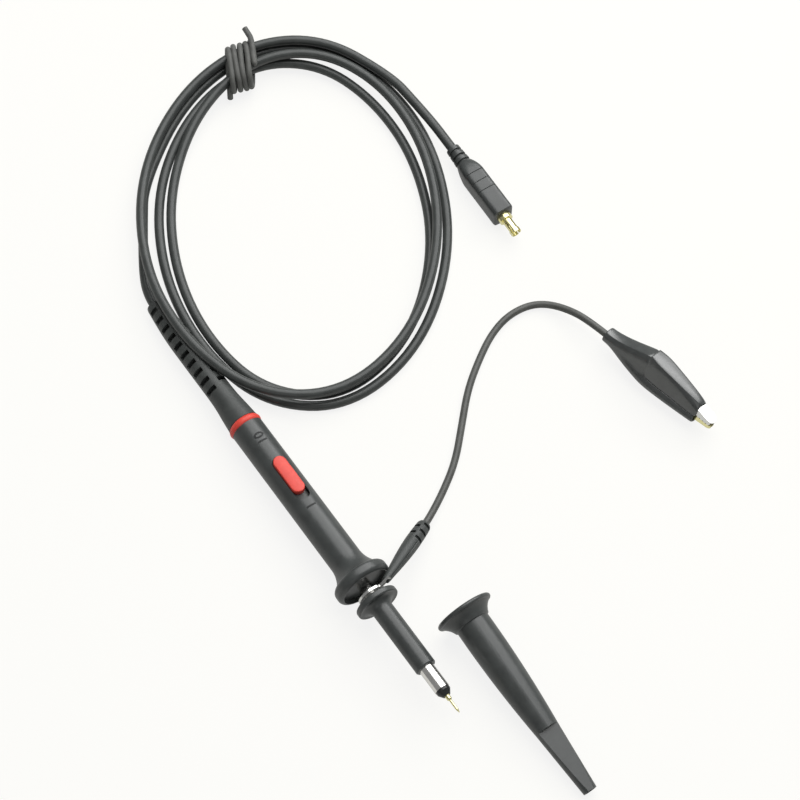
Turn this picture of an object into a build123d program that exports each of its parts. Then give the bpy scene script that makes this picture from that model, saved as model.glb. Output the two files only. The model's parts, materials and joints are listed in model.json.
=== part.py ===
from build123d import *
import math
import os

# Oscilloscope probe with its ground lead, wound cable, small coaxial plug and loose hook tip.
# Millimetres. The probe's axis runs along +X, the tip at the +X end, and z = 0 is the
# table that everything lies on.

# ---------------------------------------------------------------- probe head, along its axis
HEAD_X, HEAD_Y = -107.0, -10.2      # rear end of the strain relief on the table
SWITCH_ROLL = 9.0                   # the switch faces a little towards +Y, degrees

RELIEF_LENGTH = 54.0                # soft strain relief, from the cable's exit to the ring
RELIEF_END_R = 2.95
RELIEF_SEAT_R = 5.3
SLOT_COUNT = 10
SLOT_FIRST = 2.4
SLOT_PITCH = 3.75
SLOT_WIDTH = 1.55

RING_WIDTH = 2.4                    # red marker ring
RING_R = 5.7

HANDLE_LENGTH = 62.9                # from the marker ring to the rear of the guard's rim
HANDLE_R = 5.4
HANDLE_WALL = 1.15
GUARD_R = 9.4                       # finger guard
GUARD_RIM = 4.2
GUARD_FLARE = 6.5
GUARD_LIP = 1.2
GUARD_RECESS = 1.6

GROUND_GAP = 5.3                    # room for the ground ring between guard and sleeve
SLEEVE_FLANGE_R = 7.2
SLEEVE_FLANGE = 2.0
SLEEVE_R = 3.45
SLEEVE_LENGTH = 25.4
SLEEVE_FLARE = 2.2

BARREL_R = 2.5                      # nickel ground barrel, where it shows
BARREL_SEAT_R = 2.3                 # the same barrel under the sleeve and the ring
BARREL_WALL = 0.4
BARREL_SHOWS = 8.4
BARREL_INSIDE = 12.0
INSULATOR_LENGTH = 2.4
INSULATOR_R = 2.3
INSULATOR_END_R = 1.25
NEEDLE_R = 0.42
NEEDLE_COLLAR_R = 0.8
NEEDLE_COLLAR = 1.3
NEEDLE_SHOWS = 6.5
NEEDLE_INSIDE = 14.0

SWITCH_LENGTH = 14.6                # red slide knob
SWITCH_WIDTH = 4.4
SWITCH_PROUD = 0.75
SWITCH_TRAVEL = 2.4
SWITCH_CLEAR = 0.25
SWITCH_BACK = 16.2                  # from the marker ring to the knob's rear end

BOARD_END_GAP = 1.5                 # from the board to the barrel
BOARD_THICK = 0.8
BOARD_DROP = 0.9                    # top of the board below the axis
BOARD_START = 6.0
SWITCH_CASE = (17.0, 5.6, 1.9)
TERMINAL_COUNT = 3
TERMINAL_PITCH = 4.0
TERMINAL_R = 0.3
TRIMMER_R = 2.3
TRIMMER_HEIGHT = 1.7
TRIMMER_ROTOR_R = 1.35
TRIMMER_ROTOR = 0.7
TRIMMER_FROM_SWITCH = 14.0
TRIMMER_HOLE_R = 1.5
RESISTOR_R = 0.95
RESISTOR_LENGTH = 6.4
CAPACITOR_R = 1.2
CAPACITOR_LENGTH = 4.2
LEAD_R = 0.25
CRIMP_R = 2.15
CRIMP_LENGTH = 8.0

FIT = 0.05                          # radial clearance of parts that slide or turn on each other
SEAT = 0.02                         # radial clearance of parts that stay seated

# ---------------------------------------------------------------- ground lead
RING_THICK = 0.8                    # slip-on ring of sheet metal
RING_OUTER_R = 4.6
TAB_WIDTH = 1.5
TAB_REACH = 8.3
TAB_RISE = 36.0                     # the tab's angle above the table, degrees
GROUND_BOOT_R = (1.1, 2.5)
GROUND_BOOT_END = (7.6, 18.3, 3.3)
GROUND_EXIT = 3.4                   # straight wire past the boot
GROUND_SLOTS = 5
GROUND_SLOT_PITCH = 1.25
GROUND_SLOT = 0.5
GROUND_SLOT_HALF = 1.1              # half length of a slot
WIRE_R = 1.2
WIRE_ROUTE = (
    (1.3, 29.6, WIRE_R),
    (-5.2, 39.2, WIRE_R),
    (-14.5, 48.3, WIRE_R),
    (-23.8, 57.3, WIRE_R),
    (-30.6, 66.6, WIRE_R),
    (-36.0, 75.6, WIRE_R),
    (-38.6, 84.6, WIRE_R),
    (-37.3, 93.8, WIRE_R),
    (-31.0, 100.0, 2.4),
)

# ---------------------------------------------------------------- clip on the ground lead
CLIP_AT = (-12.6, 105.1)            # rear end of the clip's sleeve
CLIP_BEARING = 10.5
CLIP_ROLL = 72.0                    # the jaws open almost upright
CLIP_TAIL_R = 2.6
CLIP_ENTRY = 7.0                    # straight wire before the sleeve
CRIMP_START, CRIMP_END = 8.2, 10.6
CRIMP_OUTER_R = 1.6
CLIP_WALL = 0.7
CLIP_ROUND = 0.3                    # corner radius as a share of the section's lesser side
CLIP_STATIONS = (                   # along, reach below and above its axis, half width
    (7.6, 3.2, 3.7, 2.6),
    (19.0, 5.4, 7.3, 3.5),
    (30.0, 4.7, 6.0, 3.15),
    (40.2, 4.0, 4.5, 2.85),
)
CLIP_SLIT = 11.5                    # the sleeve is split between the jaws for this length
CLIP_SLIT_GAP = 1.0
PIVOT_AT = (20.0, 0.0)
PIVOT_R = 0.7
JAW_END = 46.3
JAW_SHEET = 0.5
JAW_WIDTH = 4.1
JAW_BACK = 8.5
JAW_TAIL_Y = 3.25
LOWER_JAW_SHARE = 0.8              # how deep the lower jaw is, beside the upper one
TOOTH_PITCH = 1.3
TOOTH_DEPTH = 0.5
SPRING_WIRE_R = 0.25
SPRING_TURNS = 2

# ---------------------------------------------------------------- hook tip, lying apart
HOOK_X, HOOK_Y = 39.6, 10.1         # centre of the rim on the table
HOOK_BEARING = -0.3
HOOK_LENGTH = 67.0
HOOK_RIM_R = 9.6
HOOK_RIM = 1.5
HOOK_TRUMPET = 5.0
HOOK_NECK_R = 5.6
HOOK_WAIST = (24.5, 5.3)            # where the grip is still nearly as wide as its neck
HOOK_STEP = 44.5                    # from the rim to the flat at the nose
HOOK_STEP_R = 3.95
HOOK_NOSE_R = 2.3
HOOK_WALL = 1.0
HOOK_TRAVEL = 7.0
HOOK_WIRE_R = 0.4
HOOK_BEND_R = 0.5
SOCKET_REAR = 1.0
LINER_LENGTH = 12.0
SOCKET_DEPTH = 18.0
SOCKET_WALL = 0.35
CORE_WALL = 0.9
CORE_TUBE_R = 1.7
COIL_SPRING_R = 2.45
COIL_SPRING_WIRE_R = 0.25
COIL_SPRING_TURNS = 7
PUSH_GAP = 0.3

# ---------------------------------------------------------------- cable and plug
CABLE_R = 1.65
COIL_CENTRE = (-110.3, 47.3)
COIL_HALF_SHORT = 51.5
COIL_HALF_LONG = 70.7
COIL_BEARING = 55.3                 # the short axis, from +X
COIL_FIRST = 170.0                  # bearing of each turn's first station, in the oval
STATIONS = 6
COIL_OUT = (                        # how far each turn lies outside the oval, turn by turn
    (-1.1, -3.3, -4.3, 0.6, 3.5, -7.0),
    (-5.5, -7.8, -12.8, -5.2, -0.4, -10.8),
    (-9.7, -9.4, -7.7, -3.0, 0.0, -2.4),
    (0.3, -3.9, -2.5),
)
COIL_HEIGHT = (                     # height of the cable's centre at the same stations
    (1.65, 3.8, 1.65, 1.65, 1.65, 1.65),
    (1.65, 3.8, 1.65, 1.65, 1.65, 1.65),
    (1.65, 7.3, 5.7, 5.9, 5.9, 10.4),
    (5.5, 7.4, 5.1),
)
COIL_START = ((-119.0, -7.2, 2.0), (-136.5, 3.4, 1.65))
LEAD_ROUTE = ((-122.5, 104.9, 4.9), (-111.5, 105.3, 4.7))

PLUG_X, PLUG_Y = -99.8, 105.0      # rear end of the plug's strain relief
PLUG_BEARING = -2.1
PLUG_WIDE, PLUG_HIGH = 7.4, 8.7     # moulded body, a rounded rectangle
PLUG_CORNER = 2.2
PLUG_RELIEF = 7.0
PLUG_RELIEF_R = (2.35, 2.8)
PLUG_RELIEF_SLOTS = 3
PLUG_RELIEF_SLOT_FIRST = 0.9
PLUG_RELIEF_SLOT_PITCH = 2.1
PLUG_RELIEF_SLOT = 0.8
PLUG_BODY = 24.2
PLUG_SHOULDER = 7.5
PLUG_GROOVES = 3
PLUG_GROOVE_FIRST = 13.2
PLUG_GROOVE_PITCH = 3.8
PLUG_GROOVE = (0.45, 0.3)           # width and depth
PLUG_SHELL_R = 1.6
PLUG_SHELL_WALL = 0.3
PLUG_SHELL_LENGTH = 7.8
PLUG_RING_R = 1.85                  # ring round the fingers' ends
PLUG_RING = 1.4
PLUG_COLLAR_R = 2.4
PLUG_COLLAR = 1.9
PLUG_SLOTS = 4
PLUG_SLOT = 0.5
PLUG_PIN_R = 0.25
PLUG_INSULATOR_R = 1.25
PLUG_CRIMP_R = 2.2

# ---------------------------------------------------------------- cable tie
TIE_R = 1.0
TIE_TURNS = 4
TIE_PITCH = 2.5
TIE_HALF_WIDE = 7.5
TIE_HALF_HIGH = 4.7
TIE_TAIL = 6.0
TIE_STUB = 2.5


# ================================================================ shapes
def outline(start, *steps):
    """A face in the XZ plane from points (along, radius); a pair of points is an arc."""
    here = Vector(start[0], 0, start[1])
    edges = []
    for step in steps + (start,):
        if isinstance(step[0], tuple):
            middle, end = (Vector(x, 0, r) for x, r in step)
            edges.append(ThreePointArc(here, middle, end))
        else:
            end = Vector(step[0], 0, step[1])
            if (end - here).length > 1e-6:
                edges.append(Line(here, end))
        here = end
    return Face(Wire(edges))


def turned(start, *steps):
    """A solid of revolution about the X axis."""
    return revolve(outline(start, *steps), Axis.X, 360)


def rod(x0, x1, r):
    return turned((x0, 0), (x0, r), (x1, r), (x1, 0))


def pipe(x0, x1, inner, outer):
    return turned((x0, inner), (x0, outer), (x1, outer), (x1, inner))


def block(x0, x1, y0, y1, z0, z1):
    middle = Vector((x0 + x1) / 2, (y0 + y1) / 2, (z0 + z1) / 2)
    return Pos(*middle) * Box(x1 - x0, y1 - y0, z1 - z0)


def biarc(p0, t0, p1, t1):
    """Two arcs from p0 to p1 that leave along t0 and arrive along t1."""
    v, t = p1 - p0, t0 + t1
    spread = 2 * (1 - t0.dot(t1))
    along = v.dot(t)
    if spread < 1e-9:
        d = v.dot(v) / (2 * along)
    else:
        d = (-along + math.sqrt(along * along + spread * v.dot(v))) / spread
    joint = (p0 + p1 + (t0 - t1) * d) * 0.5
    return arc_or_line(p0, p0 + t0 * d, joint) + arc_or_line(joint, p1 - t1 * d, p1)


def arc_or_line(start, apex, end):
    """The arc from start to end that is tangent to both lines to the apex."""
    middle = (start + end) * 0.5
    towards = apex - middle
    if towards.length < 1e-5:
        return [(start, middle, end)]
    turn = math.radians((apex - start).get_angle(end - apex))
    rise = (end - start).length / 2 * math.tan(turn / 4)
    return [(start, middle + towards.normalized() * rise, end)]


def bound_arcs(points, tangents):
    arcs = []
    for i in range(len(points) - 1):
        arcs += biarc(points[i], tangents[i], points[i + 1], tangents[i + 1])
    return arcs


def wound_arcs(points, first, last):
    """Arcs through the points; the tangent at each is that of the circle through three.

    Where a point is as low or as high as the line gets there, the tangent lies level.
    """
    tangents = [Vector(first).normalized()]
    for before, here, after in zip(points, points[1:], points[2:]):
        a, b = here - before, after - here
        tangent = a * (1 / a.dot(a)) + b * (1 / b.dot(b))
        if a.Z * b.Z <= 0:
            tangent = Vector(tangent.X, tangent.Y, 0)
        tangents.append(tangent.normalized())
    tangents.append(Vector(last).normalized())
    return bound_arcs(points, tangents)


def arc_edge(arc):
    start, middle, end = arc
    straight = (middle - (start + end) * 0.5).length < 1e-4
    return Line(start, end) if straight else ThreePointArc(start, middle, end)


def swept(edges, radius):
    path = Wire(edges)
    section = Plane(path @ 0, z_dir=path % 0) * Circle(radius)
    return sweep(section, path=path)


def least_gap(edges, radius, step=1.5):
    """The least free gap between stretches of one tube, measured on points of its line."""
    path = Wire(edges)
    count = int(path.length / step)
    points = [path @ (i / count) for i in range(count + 1)]
    skip = int(math.pi * radius * 3 / step) + 2
    least = min((a - b).length for i, a in enumerate(points) for b in points[i + skip:])
    return least - 2 * radius


def corner_radii(points):
    """The largest arc that each corner's two runs allow."""
    radii = []
    for before, here, after in zip(points, points[1:], points[2:]):
        a, b = here - before, after - here
        turn = math.radians(a.get_angle(b))
        radii.append(0.45 * min(a.length, b.length) / math.tan(turn / 2))
    return radii


def routed(name, points, radius):
    """A tube of straight runs joined by tangent arcs."""
    points = [Vector(p) for p in points]
    radii = corner_radii(points)
    path = FilletPolyline(*points, radius=radii)
    solid = swept(path.edges(), radius)
    expected = math.pi * radius ** 2 * path.length
    print(f"{name}: length {path.length:.1f}, volume {solid.volume:.1f} of {expected:.1f},"
          f" radii {[round(r, 1) for r in radii]}")
    return solid


def helix_points(turns, radius, pitch, per_turn=4):
    """Stations of a helix round the X axis."""
    points = []
    for i in range(turns * per_turn + 1):
        angle = math.radians(360 / per_turn * i)
        points.append(Vector(pitch * i / per_turn, radius * math.cos(angle), radius * math.sin(angle)))
    return points


def helix(turns, radius, pitch, wire_r):
    """A wire wound round the X axis from x = 0."""
    rise = pitch / (2 * math.pi * radius)
    slope = Vector(rise, 0, 1)
    return swept([arc_edge(a) for a in wound_arcs(helix_points(turns, radius, pitch), slope, slope)], wire_r)


# ================================================================ places along the probe head
RING_X = RELIEF_LENGTH
HANDLE_X = RING_X + RING_WIDTH
GUARD_X = HANDLE_X + HANDLE_LENGTH
GUARD_FACE = GUARD_X + GUARD_RIM
SLEEVE_X = GUARD_FACE + GROUND_GAP
SLEEVE_END = SLEEVE_X + SLEEVE_FLANGE + SLEEVE_LENGTH
BARREL_END = SLEEVE_END + BARREL_SHOWS
INSULATOR_END = BARREL_END + INSULATOR_LENGTH
TIP_X = INSULATOR_END + NEEDLE_SHOWS
HANDLE_BORE = HANDLE_R - HANDLE_WALL
BARREL_BORE = BARREL_R - BARREL_WALL

RELIEF_PROFILE = (                  # (share of the length, share of the swell)
    (0.08, 0.20),
    (0.16, 0.37),
    (0.24, 0.50),
    (0.32, 0.55),
    (0.55, 0.55),
    (0.74, 0.54),
    (0.82, 0.60),
    (0.90, 0.80),
)
RELIEF_SWELL = RELIEF_SEAT_R - RELIEF_END_R
RELIEF_POINTS = [(a * RELIEF_LENGTH, RELIEF_END_R + b * RELIEF_SWELL) for a, b in RELIEF_PROFILE]

# The head rests on the guard's rim and on the strain relief, so its nose points up a little.
REST_SLOPE = min((GUARD_R - r) / (GUARD_X + GUARD_RIM / 2 - x) for x, r in RELIEF_POINTS)
TILT = math.degrees(math.asin(REST_SLOPE))
HEAD_Z = (GUARD_R - (GUARD_X + GUARD_RIM / 2) * math.sin(math.radians(TILT))) / math.cos(math.radians(TILT))
HEAD = Location((HEAD_X, HEAD_Y, HEAD_Z)) * Location((0, 0, 0), (0, -TILT, 0))
ROLLED = HEAD * Location((0, 0, 0), (-SWITCH_ROLL, 0, 0))

SWITCH_REAR = HANDLE_X + SWITCH_BACK
SWITCH_MIDDLE = SWITCH_REAR + SWITCH_LENGTH / 2
BARREL_X = GUARD_X - BARREL_INSIDE
BOARD_X = HANDLE_X + BOARD_START
BOARD_END = BARREL_X - BOARD_END_GAP
BOARD_TOP = -BOARD_DROP
BOARD_UNDER = BOARD_TOP - BOARD_THICK
BOARD_HALF = math.sqrt((HANDLE_BORE - SEAT) ** 2 - BOARD_UNDER ** 2)
TRIMMER_X = SWITCH_MIDDLE + TRIMMER_FROM_SWITCH
CABLE_END_X = BOARD_X - 1.0


def rear_relief():
    """Soft strain relief: a tapered sleeve with four staggered rows of slots."""
    spigot_r = HANDLE_BORE - SEAT
    spigot_end = HANDLE_X + 4.0
    bore = CABLE_R + SEAT
    hollow = CRIMP_R + 0.1
    hollow_x = RELIEF_LENGTH - 3.0
    outer = [(0, RELIEF_END_R)] + RELIEF_POINTS + [(RELIEF_LENGTH, RELIEF_SEAT_R)]
    body = turned((0, bore), *outer, (RING_X, spigot_r), (spigot_end, spigot_r),
                  (spigot_end, hollow), (hollow_x, hollow), (hollow_x, bore))
    cuts = []
    for row in range(4):
        for i in range(SLOT_COUNT - (row % 2)):
            x = SLOT_FIRST + (i + 0.5 * (row % 2)) * SLOT_PITCH
            depth = RELIEF_END_R + RELIEF_SWELL * x / RELIEF_LENGTH + 0.3
            floor = CABLE_R + 0.35
            slot = block(x, x + SLOT_WIDTH, -depth * 0.62, depth * 0.62, floor, depth * 1.6)
            cuts.append(Rot(45 + 90 * row, 0, 0) * slot)
    return body - cuts


def marker_ring():
    """Red ring seated on the relief's spigot, its outside rounded."""
    inner = HANDLE_BORE
    corner = 0.6
    x0, x1 = RING_X, HANDLE_X
    middle = (x0 + x1) / 2
    return turned((x0, inner), (x0, RING_R - corner), ((middle, RING_R), (x1, RING_R - corner)),
                  (x1, inner))


def switch_opening():
    """Outline of the handle's opening for the knob and its travel."""
    length = SWITCH_LENGTH + SWITCH_TRAVEL + 2 * SWITCH_CLEAR
    middle = SWITCH_MIDDLE + SWITCH_TRAVEL / 2
    return Pos(middle, 0, 0) * SlotOverall(length, SWITCH_WIDTH + 2 * SWITCH_CLEAR)


def handle_shell():
    """Handle with its finger guard, open for the switch knob and the trimmer."""
    bore_end = GUARD_X - 2.5
    nose_bore = BARREL_SEAT_R + SEAT
    flare_x = GUARD_X - GUARD_FLARE
    flare_mid = (GUARD_X - GUARD_FLARE * 0.28, HANDLE_R + (GUARD_R - HANDLE_R) * 0.32)
    round_r = GUARD_RIM * 0.35
    face = GUARD_FACE
    body = turned((HANDLE_X, HANDLE_BORE), (HANDLE_X, HANDLE_R), (flare_x, HANDLE_R),
                  (flare_mid, (GUARD_X, GUARD_R - round_r)),
                  ((GUARD_X + round_r * 0.3, GUARD_R - round_r * 0.3), (GUARD_X + round_r, GUARD_R)),
                  (face - round_r, GUARD_R),
                  ((face - round_r * 0.3, GUARD_R - round_r * 0.3), (face, GUARD_R - round_r)),
                  (face, GUARD_R - GUARD_LIP), (face - GUARD_RECESS, GUARD_R - GUARD_LIP),
                  (face - GUARD_RECESS, nose_bore), (bore_end, nose_bore), (bore_end, HANDLE_BORE))
    opening = extrude(Plane.XY * switch_opening(), HANDLE_R * 2)
    hole = Pos(TRIMMER_X, 0, -HANDLE_R) * Cylinder(TRIMMER_HOLE_R, HANDLE_R)
    return body - opening - hole


def switch_knob():
    """Red knob: a long rounded pad with a stem down to the slide switch."""
    top = HANDLE_R + SWITCH_PROUD
    case_top = BOARD_TOP + SWITCH_CASE[2]
    pad = extrude(Plane.XY.offset(HANDLE_BORE - 0.1) * Pos(SWITCH_MIDDLE, 0, 0)
                  * SlotOverall(SWITCH_LENGTH, SWITCH_WIDTH), top - HANDLE_BORE + 0.1)
    crown = rod(SWITCH_REAR - 1, SWITCH_REAR + SWITCH_LENGTH + 1, top)
    pad = fillet((pad & crown).faces().sort_by(Axis.Z)[-1].edges(), 0.3)
    stem = block(SWITCH_MIDDLE - 2.0, SWITCH_MIDDLE + 2.0, -1.0, 1.0,
                 case_top - 0.8, HANDLE_BORE)
    return pad + stem


def switch_case():
    """Slide switch on the board, with a slot in its top for the knob's stem."""
    length, width, height = SWITCH_CASE
    middle = SWITCH_MIDDLE + SWITCH_TRAVEL / 2
    case = block(middle - length / 2, middle + length / 2, -width / 2, width / 2,
                 BOARD_TOP, BOARD_TOP + height)
    slot = block(SWITCH_MIDDLE - 2.3, SWITCH_MIDDLE + 2.3 + SWITCH_TRAVEL, -1.2, 1.2,
                 BOARD_TOP + height - 1.1, BOARD_TOP + height + 1)
    return case - slot


def terminals():
    """Solder pins of the slide switch, through the board."""
    pins = []
    for i in range(TERMINAL_COUNT):
        x = SWITCH_MIDDLE + SWITCH_TRAVEL / 2 + (i - (TERMINAL_COUNT - 1) / 2) * TERMINAL_PITCH
        pins.append(Pos(x, 0, BOARD_UNDER - 0.4) * Cylinder(TERMINAL_R, 0.8))
    return pins


def circuit_board():
    return block(BOARD_X, BOARD_END, -BOARD_HALF, BOARD_HALF, BOARD_UNDER, BOARD_TOP)


def trimmer_body():
    """Round trimmer capacitor under the board, its rotor facing the access hole."""
    cup = Pos(TRIMMER_X, 0, BOARD_UNDER - TRIMMER_HEIGHT / 2) * Cylinder(TRIMMER_R, TRIMMER_HEIGHT)
    well = Pos(TRIMMER_X, 0, BOARD_UNDER - TRIMMER_HEIGHT) * Cylinder(TRIMMER_ROTOR_R + FIT,
                                                                      2 * TRIMMER_ROTOR)
    return cup & rod(0, TIP_X, HANDLE_BORE - 0.05) - well


def trimmer_rotor():
    """Brass rotor with a screwdriver slot."""
    low = BOARD_UNDER - TRIMMER_HEIGHT
    disc = Pos(TRIMMER_X, 0, low + TRIMMER_ROTOR / 2) * Cylinder(TRIMMER_ROTOR_R, TRIMMER_ROTOR)
    slot = block(TRIMMER_X - 2, TRIMMER_X + 2, -0.25, 0.25, low - 1, low + 0.35)
    return disc - slot


def nose_sleeve():
    """Insulating sleeve over the barrel, with a small flange that keeps the ground ring."""
    bore = BARREL_SEAT_R + SEAT
    flange_end = SLEEVE_X + SLEEVE_FLANGE
    flare = flange_end + SLEEVE_FLARE
    edge = 0.5
    lip = SLEEVE_FLANGE_R - edge
    return turned((SLEEVE_X, bore), (SLEEVE_X, lip), ((SLEEVE_X + edge * 0.3, lip + edge * 0.7),
                  (SLEEVE_X + edge, SLEEVE_FLANGE_R)), (flange_end - edge, SLEEVE_FLANGE_R),
                  ((flange_end - edge * 0.3, lip + edge * 0.7), (flange_end, lip)),
                  ((flange_end + SLEEVE_FLARE * 0.25, SLEEVE_R + (lip - SLEEVE_R) * 0.28),
                   (flare, SLEEVE_R)),
                  (SLEEVE_END - 0.4, SLEEVE_R), (SLEEVE_END, SLEEVE_R - 0.3), (SLEEVE_END, bore))


def ground_barrel():
    """Turned barrel: a seat for the handle, the ring and the sleeve, then the nose that shows."""
    return turned((BARREL_X, BARREL_BORE), (BARREL_X, BARREL_SEAT_R), (SLEEVE_END, BARREL_SEAT_R),
                  (SLEEVE_END, BARREL_R), (BARREL_END, BARREL_R), (BARREL_END, BARREL_BORE))


def tip_insulator():
    """Insulator that closes the barrel and carries the needle."""
    bore = NEEDLE_R + SEAT
    inner = BARREL_END - 5.0
    shoulder = BARREL_END + INSULATOR_LENGTH * 0.35
    return turned((inner, bore), (inner, BARREL_BORE - SEAT), (BARREL_END, BARREL_BORE - SEAT),
                  (BARREL_END, INSULATOR_R), (shoulder, INSULATOR_R), (INSULATOR_END, INSULATOR_END_R),
                  (INSULATOR_END, bore))


def tip_needle():
    """Gold needle with a collar against the insulator."""
    collar = INSULATOR_END + NEEDLE_COLLAR
    taper = TIP_X - 1.2
    return turned((INSULATOR_END - NEEDLE_INSIDE, 0), (INSULATOR_END - NEEDLE_INSIDE, NEEDLE_R),
                  (INSULATOR_END, NEEDLE_R), (INSULATOR_END, NEEDLE_COLLAR_R),
                  (collar, NEEDLE_COLLAR_R), (collar + 0.5, NEEDLE_R), (taper, NEEDLE_R),
                  (TIP_X, 0.1), (TIP_X, 0))


def input_resistor():
    """Axial resistor behind the needle, its rear lead on to the capacitor."""
    end = INSULATOR_END - NEEDLE_INSIDE
    start = end - RESISTOR_LENGTH
    lead = start - 3.0
    return turned((lead, 0), (lead, LEAD_R), (start, LEAD_R), (start, RESISTOR_R),
                  (end, RESISTOR_R), (end, 0))


def input_capacitor():
    """Small tubular capacitor in the barrel, with its lead to the board."""
    end = INSULATOR_END - NEEDLE_INSIDE - RESISTOR_LENGTH - 3.0
    start = end - CAPACITOR_LENGTH
    return turned((BOARD_END, 0), (BOARD_END, LEAD_R), (start, LEAD_R), (start, CAPACITOR_R),
                  (end, CAPACITOR_R), (end, 0))


def cable_inside():
    """The cable from the strain relief's end to the board."""
    return rod(0, CABLE_END_X, CABLE_R)


def crimp_ferrule():
    """Crimped sleeve that holds the cable inside the relief's seat."""
    return pipe(CABLE_END_X - 1.0 - CRIMP_LENGTH, CABLE_END_X - 1.0, CABLE_R, CRIMP_R)


# ================================================================ ground lead
RING_MIDDLE = GUARD_FACE + GROUND_GAP * 0.62
TAB = Location((RING_MIDDLE, 0, 0), (TAB_RISE, 0, 0))


def ground_ring():
    """Sheet-metal ring round the barrel, with a tab out to the lead."""
    ring = Pos(RING_MIDDLE, 0, 0) * pipe(-RING_THICK / 2, RING_THICK / 2, BARREL_SEAT_R + FIT,
                                         RING_OUTER_R)
    tab = block(-RING_THICK / 2, RING_THICK / 2, RING_OUTER_R - 0.8, TAB_REACH,
                -TAB_WIDTH / 2, TAB_WIDTH / 2)
    return HEAD * (ring + TAB * tab)


def tab_point(reach):
    return (HEAD * TAB * Location((0, reach, 0))).position


GROUND_BOOT_START = tab_point(TAB_REACH - 1.6)
GROUND_BOOT_STOP = Vector(GROUND_BOOT_END)
GROUND_BOOT_PLANE = Plane(GROUND_BOOT_START, z_dir=GROUND_BOOT_STOP - GROUND_BOOT_START)
GROUND_BOOT_LENGTH = (GROUND_BOOT_STOP - GROUND_BOOT_START).length


def ground_boot(ring):
    """Moulded sleeve from the tab to the wire, with short slots near the wire."""
    small, large = GROUND_BOOT_R
    body = Pos(0, 0, GROUND_BOOT_LENGTH / 2) * Cone(small, large, GROUND_BOOT_LENGTH)
    cuts = []
    for i in range(GROUND_SLOTS):
        low = GROUND_BOOT_LENGTH - 1.0 - i * GROUND_SLOT_PITCH
        side = 1 if i % 2 else -1
        cuts.append(Pos(side * GROUND_SLOT_HALF, large, low - GROUND_SLOT / 2)
                    * Box(2 * GROUND_SLOT_HALF, large, GROUND_SLOT))
    return GROUND_BOOT_PLANE.location * (body - cuts) - ring


def wire_route():
    """From the boot's end along the table to the clip's sleeve."""
    entering = (CLIP * Location((-CLIP_ENTRY, 0, 0))).position
    crimped = (CLIP * Location((CRIMP_END, 0, 0))).position
    leaving = GROUND_BOOT_PLANE.from_local_coords(Vector(0, 0, GROUND_BOOT_LENGTH + GROUND_EXIT))
    return [GROUND_BOOT_STOP, leaving] + [Vector(p) for p in WIRE_ROUTE] + [entering, crimped]


# ================================================================ alligator clip
def clip_rest_height():
    """Height of the clip's axis with the sleeve's widest section on the table."""
    _, below, _, half_wide = CLIP_STATIONS[1]
    corner = 2 * half_wide * CLIP_ROUND
    lean = math.radians(CLIP_ROLL)
    return (below - corner) * math.sin(lean) + (half_wide - corner) * math.cos(lean) + corner


# The clip's own frame: X along it, Y from the lower jaw to the upper one, Z out of its side.
CLIP = (Location((*CLIP_AT, clip_rest_height()), (0, 0, CLIP_BEARING))
        * Location((0, 0, 0), (CLIP_ROLL, 0, 0)))


def clip_section(x, below, above, half_wide, shrink=0.0):
    """A rounded section of the sleeve across the clip's length."""
    high, wide = below + above - 2 * shrink, 2 * (half_wide - shrink)
    plane = Plane((x, (above - below) / 2, 0), x_dir=(0, 1, 0), z_dir=(1, 0, 0))
    return plane * RectangleRounded(high, wide, min(high, wide) * CLIP_ROUND)


def clip_sleeve():
    """Soft insulating sleeve of the clip, hollow, and split between the jaws."""
    outer = loft([clip_section(0, CLIP_TAIL_R, CLIP_TAIL_R, CLIP_TAIL_R)] + [clip_section(*s) for s in CLIP_STATIONS])
    sections = [clip_section(*s, shrink=CLIP_WALL) for s in CLIP_STATIONS]
    inner = loft(sections[1:]) + loft(sections[:2])
    end, below, above, half_wide = CLIP_STATIONS[-1]
    mouth = block(end - 2, end + 1, CLIP_WALL - below, above - CLIP_WALL,
                  CLIP_WALL - half_wide, half_wide - CLIP_WALL)
    slit = block(end - CLIP_SLIT, end + 1, -CLIP_SLIT_GAP / 2, CLIP_SLIT_GAP / 2, -10, 10)
    bore = rod(-1, CLIP_STATIONS[0][0] + 1, WIRE_R + SEAT)
    return CLIP * (outer - inner - mouth - slit - bore)


def jaw_profile(side, nested):
    """One jaw seen from above: handle, pivot cheek and toothed jaw; side is +1 or -1."""
    inset = JAW_SHEET + 0.1 if nested else 0.0
    back, end = PIVOT_AT[0] - JAW_BACK, JAW_END - inset * 0.5
    gap = 0.06
    deep = 1.0 if side > 0 else LOWER_JAW_SHARE
    points = [(back, side * deep * JAW_TAIL_Y), (back + 4.0, side * deep * 4.3),
              (PIVOT_AT[0], side * deep * 4.6), (end - 6.8, side * deep * 3.1), (end, side * 1.5),
              (end, side * gap)]
    teeth = int((end - PIVOT_AT[0] - 7.0) / TOOTH_PITCH)
    for i in range(teeth):
        x = end - (i + 1) * TOOTH_PITCH
        points.append((x + TOOTH_PITCH / 2, side * (gap + TOOTH_DEPTH)))
        points.append((x, side * gap))
    points += [(PIVOT_AT[0] + 3.4, side * 1.6), (PIVOT_AT[0] + 1.9, -side * 1.6),
               (PIVOT_AT[0] - 1.9, -side * 1.6), (PIVOT_AT[0] - 3.0, side * 2.0)]
    return Face(Wire.make_polygon([(x, y, 0) for x, y in points]))


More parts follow.
